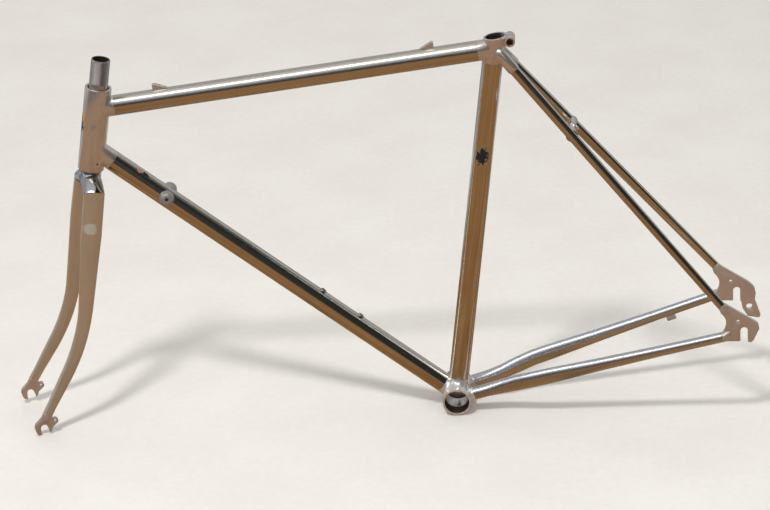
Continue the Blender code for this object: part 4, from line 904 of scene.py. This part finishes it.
@dataclass
class Studio:
    """Pale floor, soft lights, sky and camera."""

    camera_azimuth: float = -176.018
    camera_elevation: float = 23.684
    camera_roll: float = -2.966
    camera_distance: float = 3.5393
    camera_target: Vector = field(default_factory=lambda: Vector((-0.00739, 0.0, 0.23348)))
    lens: float = 119.777
    floor_size: float = 60.0
    wall_depth: float = -0.45
    wall_width: float = 5.0
    wall_height: float = 1.5
    # Elevation, through the zenith to the far side, and the light that comes from there.
    sky: tuple[tuple[float, Colour], ...] = (
        (0.0, (0.060, 0.050, 0.040)),
        (5.0, (0.024, 0.025, 0.026)),
        (18.0, (0.030, 0.032, 0.034)),
        (26.0, (0.16, 0.17, 0.19)),
        (38.0, (0.38, 0.41, 0.45)),
        (58.0, (0.58, 0.61, 0.66)),
        (85.0, (0.60, 0.57, 0.52)),
        (112.0, (0.42, 0.38, 0.32)),
        (135.0, (0.26, 0.23, 0.19)),
        (160.0, (0.16, 0.14, 0.12)),
        (180.0, (0.12, 0.105, 0.085)),
    )
    sun_band: tuple[float, float] = (0.338, 0.382)
    sun_glow: Colour = (3.6, 3.55, 3.45)
    rear_shade: Colour = (0.016, 0.019, 0.017)

    def build(self) -> None:
        """Set the stage."""
        bpy.context.scene.view_settings.view_transform = "Standard"
        self.floor()
        self.warm_ground()
        self.pale_wall()
        self.world()
        self.lights()
        self.camera()

    def level_sheet(self, name: str, height: float) -> bpy.types.Object:
        """Large level sheet at a height, which isn't part of the object."""
        return self.sheet(name, self.floor_size / 2, Matrix.Translation((0.0, 0.0, height)))

    def sheet(self, name: str, half: float, place: Matrix) -> bpy.types.Object:
        """Square sheet that isn't part of the object.

        Args:
            name: The sheet's name.
            half: Half of its side before it is placed.
            place: Matrix that stretches and moves it.

        Returns:
            The sheet.
        """
        bm = bmesh.new()
        bmesh.ops.create_grid(bm, x_segments=1, y_segments=1, size=half)
        bmesh.ops.transform(bm, matrix=place, verts=bm.verts)
        mesh = bpy.data.meshes.new(name)
        bm.to_mesh(mesh)
        bm.free()
        sheet = bpy.data.objects.new(name, mesh)
        bpy.context.scene.collection.objects.link(sheet)
        return sheet

    def floor(self) -> None:
        """Plain pale floor with a faint mottle."""
        floor = self.level_sheet("studio_floor", -0.0005)
        floor.visible_glossy = False
        shader = Shader("pale floor")
        local = shader.local(Matrix())
        mottle = shader.noise(local, 6.0, 5.0) * 0.6 + shader.noise(local, 90.0, 3.0) * 0.4
        colour = shader.blend(mottle.above(0.3, 0.7), (0.74, 0.72, 0.69), (0.79, 0.775, 0.75))
        floor.data.materials.append(shader.finish(Base_Color=colour, Roughness=0.85))

    def glow(self, sheet: bpy.types.Object, shader: Shader, colour: Wire) -> None:
        """Give a sheet a glow that only reflections see."""
        for ray in ("camera", "diffuse", "transmission", "volume_scatter", "shadow"):
            setattr(sheet, "visible_" + ray, False)
        emission = shader.node("ShaderNodeEmission", None, {"Color": colour, "Strength": 1.0})
        shader.plug(shader.output.inputs["Surface"], emission)
        sheet.data.materials.append(shader.owner)

    def warm_ground(self) -> None:
        """Warm terrace colour in the metal's reflections."""
        shader = Shader("warm ground")
        local = shader.local(Matrix())
        broad = shader.noise(shader.stretched(local, (1.6, 5.0, 1.0)), 1.0, 3.0)
        joints = shader.noise(shader.stretched(local, (9.0, 2.0, 1.0)), 1.0, 4.0)
        colour = shader.blend(broad.above(0.35, 0.65), (0.20, 0.098, 0.036), (0.31, 0.175, 0.075))
        colour = shader.blend(joints.above(0.52, 0.70) * 0.7, colour, (0.10, 0.066, 0.036))
        self.glow(self.level_sheet("warm_reflection", -0.0015), shader, colour)

    def pale_wall(self) -> None:
        """Pale boarded wall in the metal's reflections, behind the object."""
        stand = Matrix.Rotation(math.radians(90.0), 4, "X")
        size = Matrix.Diagonal((self.wall_width, self.wall_height, 1.0, 1.0))
        spot = Matrix.Translation((0.0, self.wall_depth, self.wall_height / 2))
        wall = self.sheet("wall_reflection", 0.5, spot @ stand @ size)
        shader = Shader("pale wall")
        local = shader.local(Matrix())
        boards = shader.noise(shader.stretched(local, (0.4, 1.0, 30.0)), 1.0, 3.0)
        colour = shader.blend(boards.above(0.38, 0.58), (0.15, 0.13, 0.11), (0.48, 0.50, 0.53))
        self.glow(wall, shader, colour)

    def world(self) -> None:
        """Banded sky with a sun band and a dark rear for reflections. Other rays see a plain pale one."""
        shader = Shader("studio sky", world=True)
        bpy.context.scene.world = shader.owner
        way = shader.node("ShaderNodeTexCoord", output="Generated")
        x, y, z = shader.split(way)
        share = z.math("ARCTAN2", y) * (1.0 / math.pi)
        colour = shader.ramp(share, tuple((degrees / 180.0, value) for degrees, value in self.sky))
        low, high = self.sun_band
        band = share.above(low - 0.02, low) * (1.0 - share.above(high, high + 0.02)) * x.above(-0.35, -0.15)
        colour = shader.blend(band * (1.0 - x.above(0.55, 0.8)), colour, self.sun_glow)
        rear = (x * -1.0).above(0.34, 0.46) * z.above(-0.05, 0.02)
        colour = shader.blend(rear, colour, self.rear_shade)
        banded = shader.node("ShaderNodeBackground", None, {"Color": colour, "Strength": 1.0})
        plain = shader.node("ShaderNodeBackground", None, {"Color": (0.62, 0.61, 0.59), "Strength": 1.0})
        glossy = shader.node("ShaderNodeLightPath", output="Is Glossy Ray")
        mixed = shader.node("ShaderNodeMixShader", None, {0: glossy, 1: plain, 2: banded})
        shader.plug(shader.output.inputs["Surface"], mixed)

    def lights(self) -> None:
        """One softbox and two large soft fills, which give shape to the satin pieces."""
        for lamp in LAMPS:
            data = bpy.data.lights.new(lamp.name, "AREA")
            data.shape = "DISK"
            data.size = lamp.size
            data.energy = lamp.power
            data.color = lamp.colour
            light = bpy.data.objects.new(lamp.name, data)
            light.visible_glossy = False
            way = Vector(lamp.direction).normalized()
            light.location = self.camera_target + way * lamp.distance
            light.rotation_mode = "QUATERNION"
            light.rotation_quaternion = (-way).to_track_quat("-Z", "Y")
            bpy.context.scene.collection.objects.link(light)

    def camera(self) -> None:
        """Camera at the chosen angle, with a slight roll."""
        data = bpy.data.cameras.new("camera")
        data.lens = self.lens
        data.sensor_width = 36.0
        data.sensor_fit = "HORIZONTAL"
        camera = bpy.data.objects.new("camera", data)
        azimuth = math.radians(self.camera_azimuth)
        elevation = math.radians(self.camera_elevation)
        back = Vector((math.sin(azimuth) * math.cos(elevation), -math.cos(azimuth) * math.cos(elevation),
                       math.sin(elevation)))
        level = UP.cross(back).normalized()
        turn = Matrix.Rotation(math.radians(self.camera_roll), 4, back)
        right = (turn.to_3x3() @ level).normalized()
        rotation = Matrix((right, back.cross(right), back)).transposed().to_4x4()
        camera.matrix_world = Matrix.Translation(self.camera_target + back * self.camera_distance) @ rotation
        bpy.context.scene.collection.objects.link(camera)
        bpy.context.scene.camera = camera


def main() -> None:
    """Build every sub-assembly in order, then the studio."""
    logging.basicConfig(level=logging.INFO, format="%(name)s: %(message)s")
    layout = Layout(frame["nodes"], frame["record"])
    shop = Workshop(layout)
    for assembly in (MainTubes, HeadJoint, BracketShell, RearTriangle, SeatCluster, Fittings, Fork):
        assembly(shop).build()
        LOG.info("%s done", assembly.__name__)
    Studio().build()
    LOG.info("pieces: %s", shop.bodies)


if __name__ == "__main__":
    main()
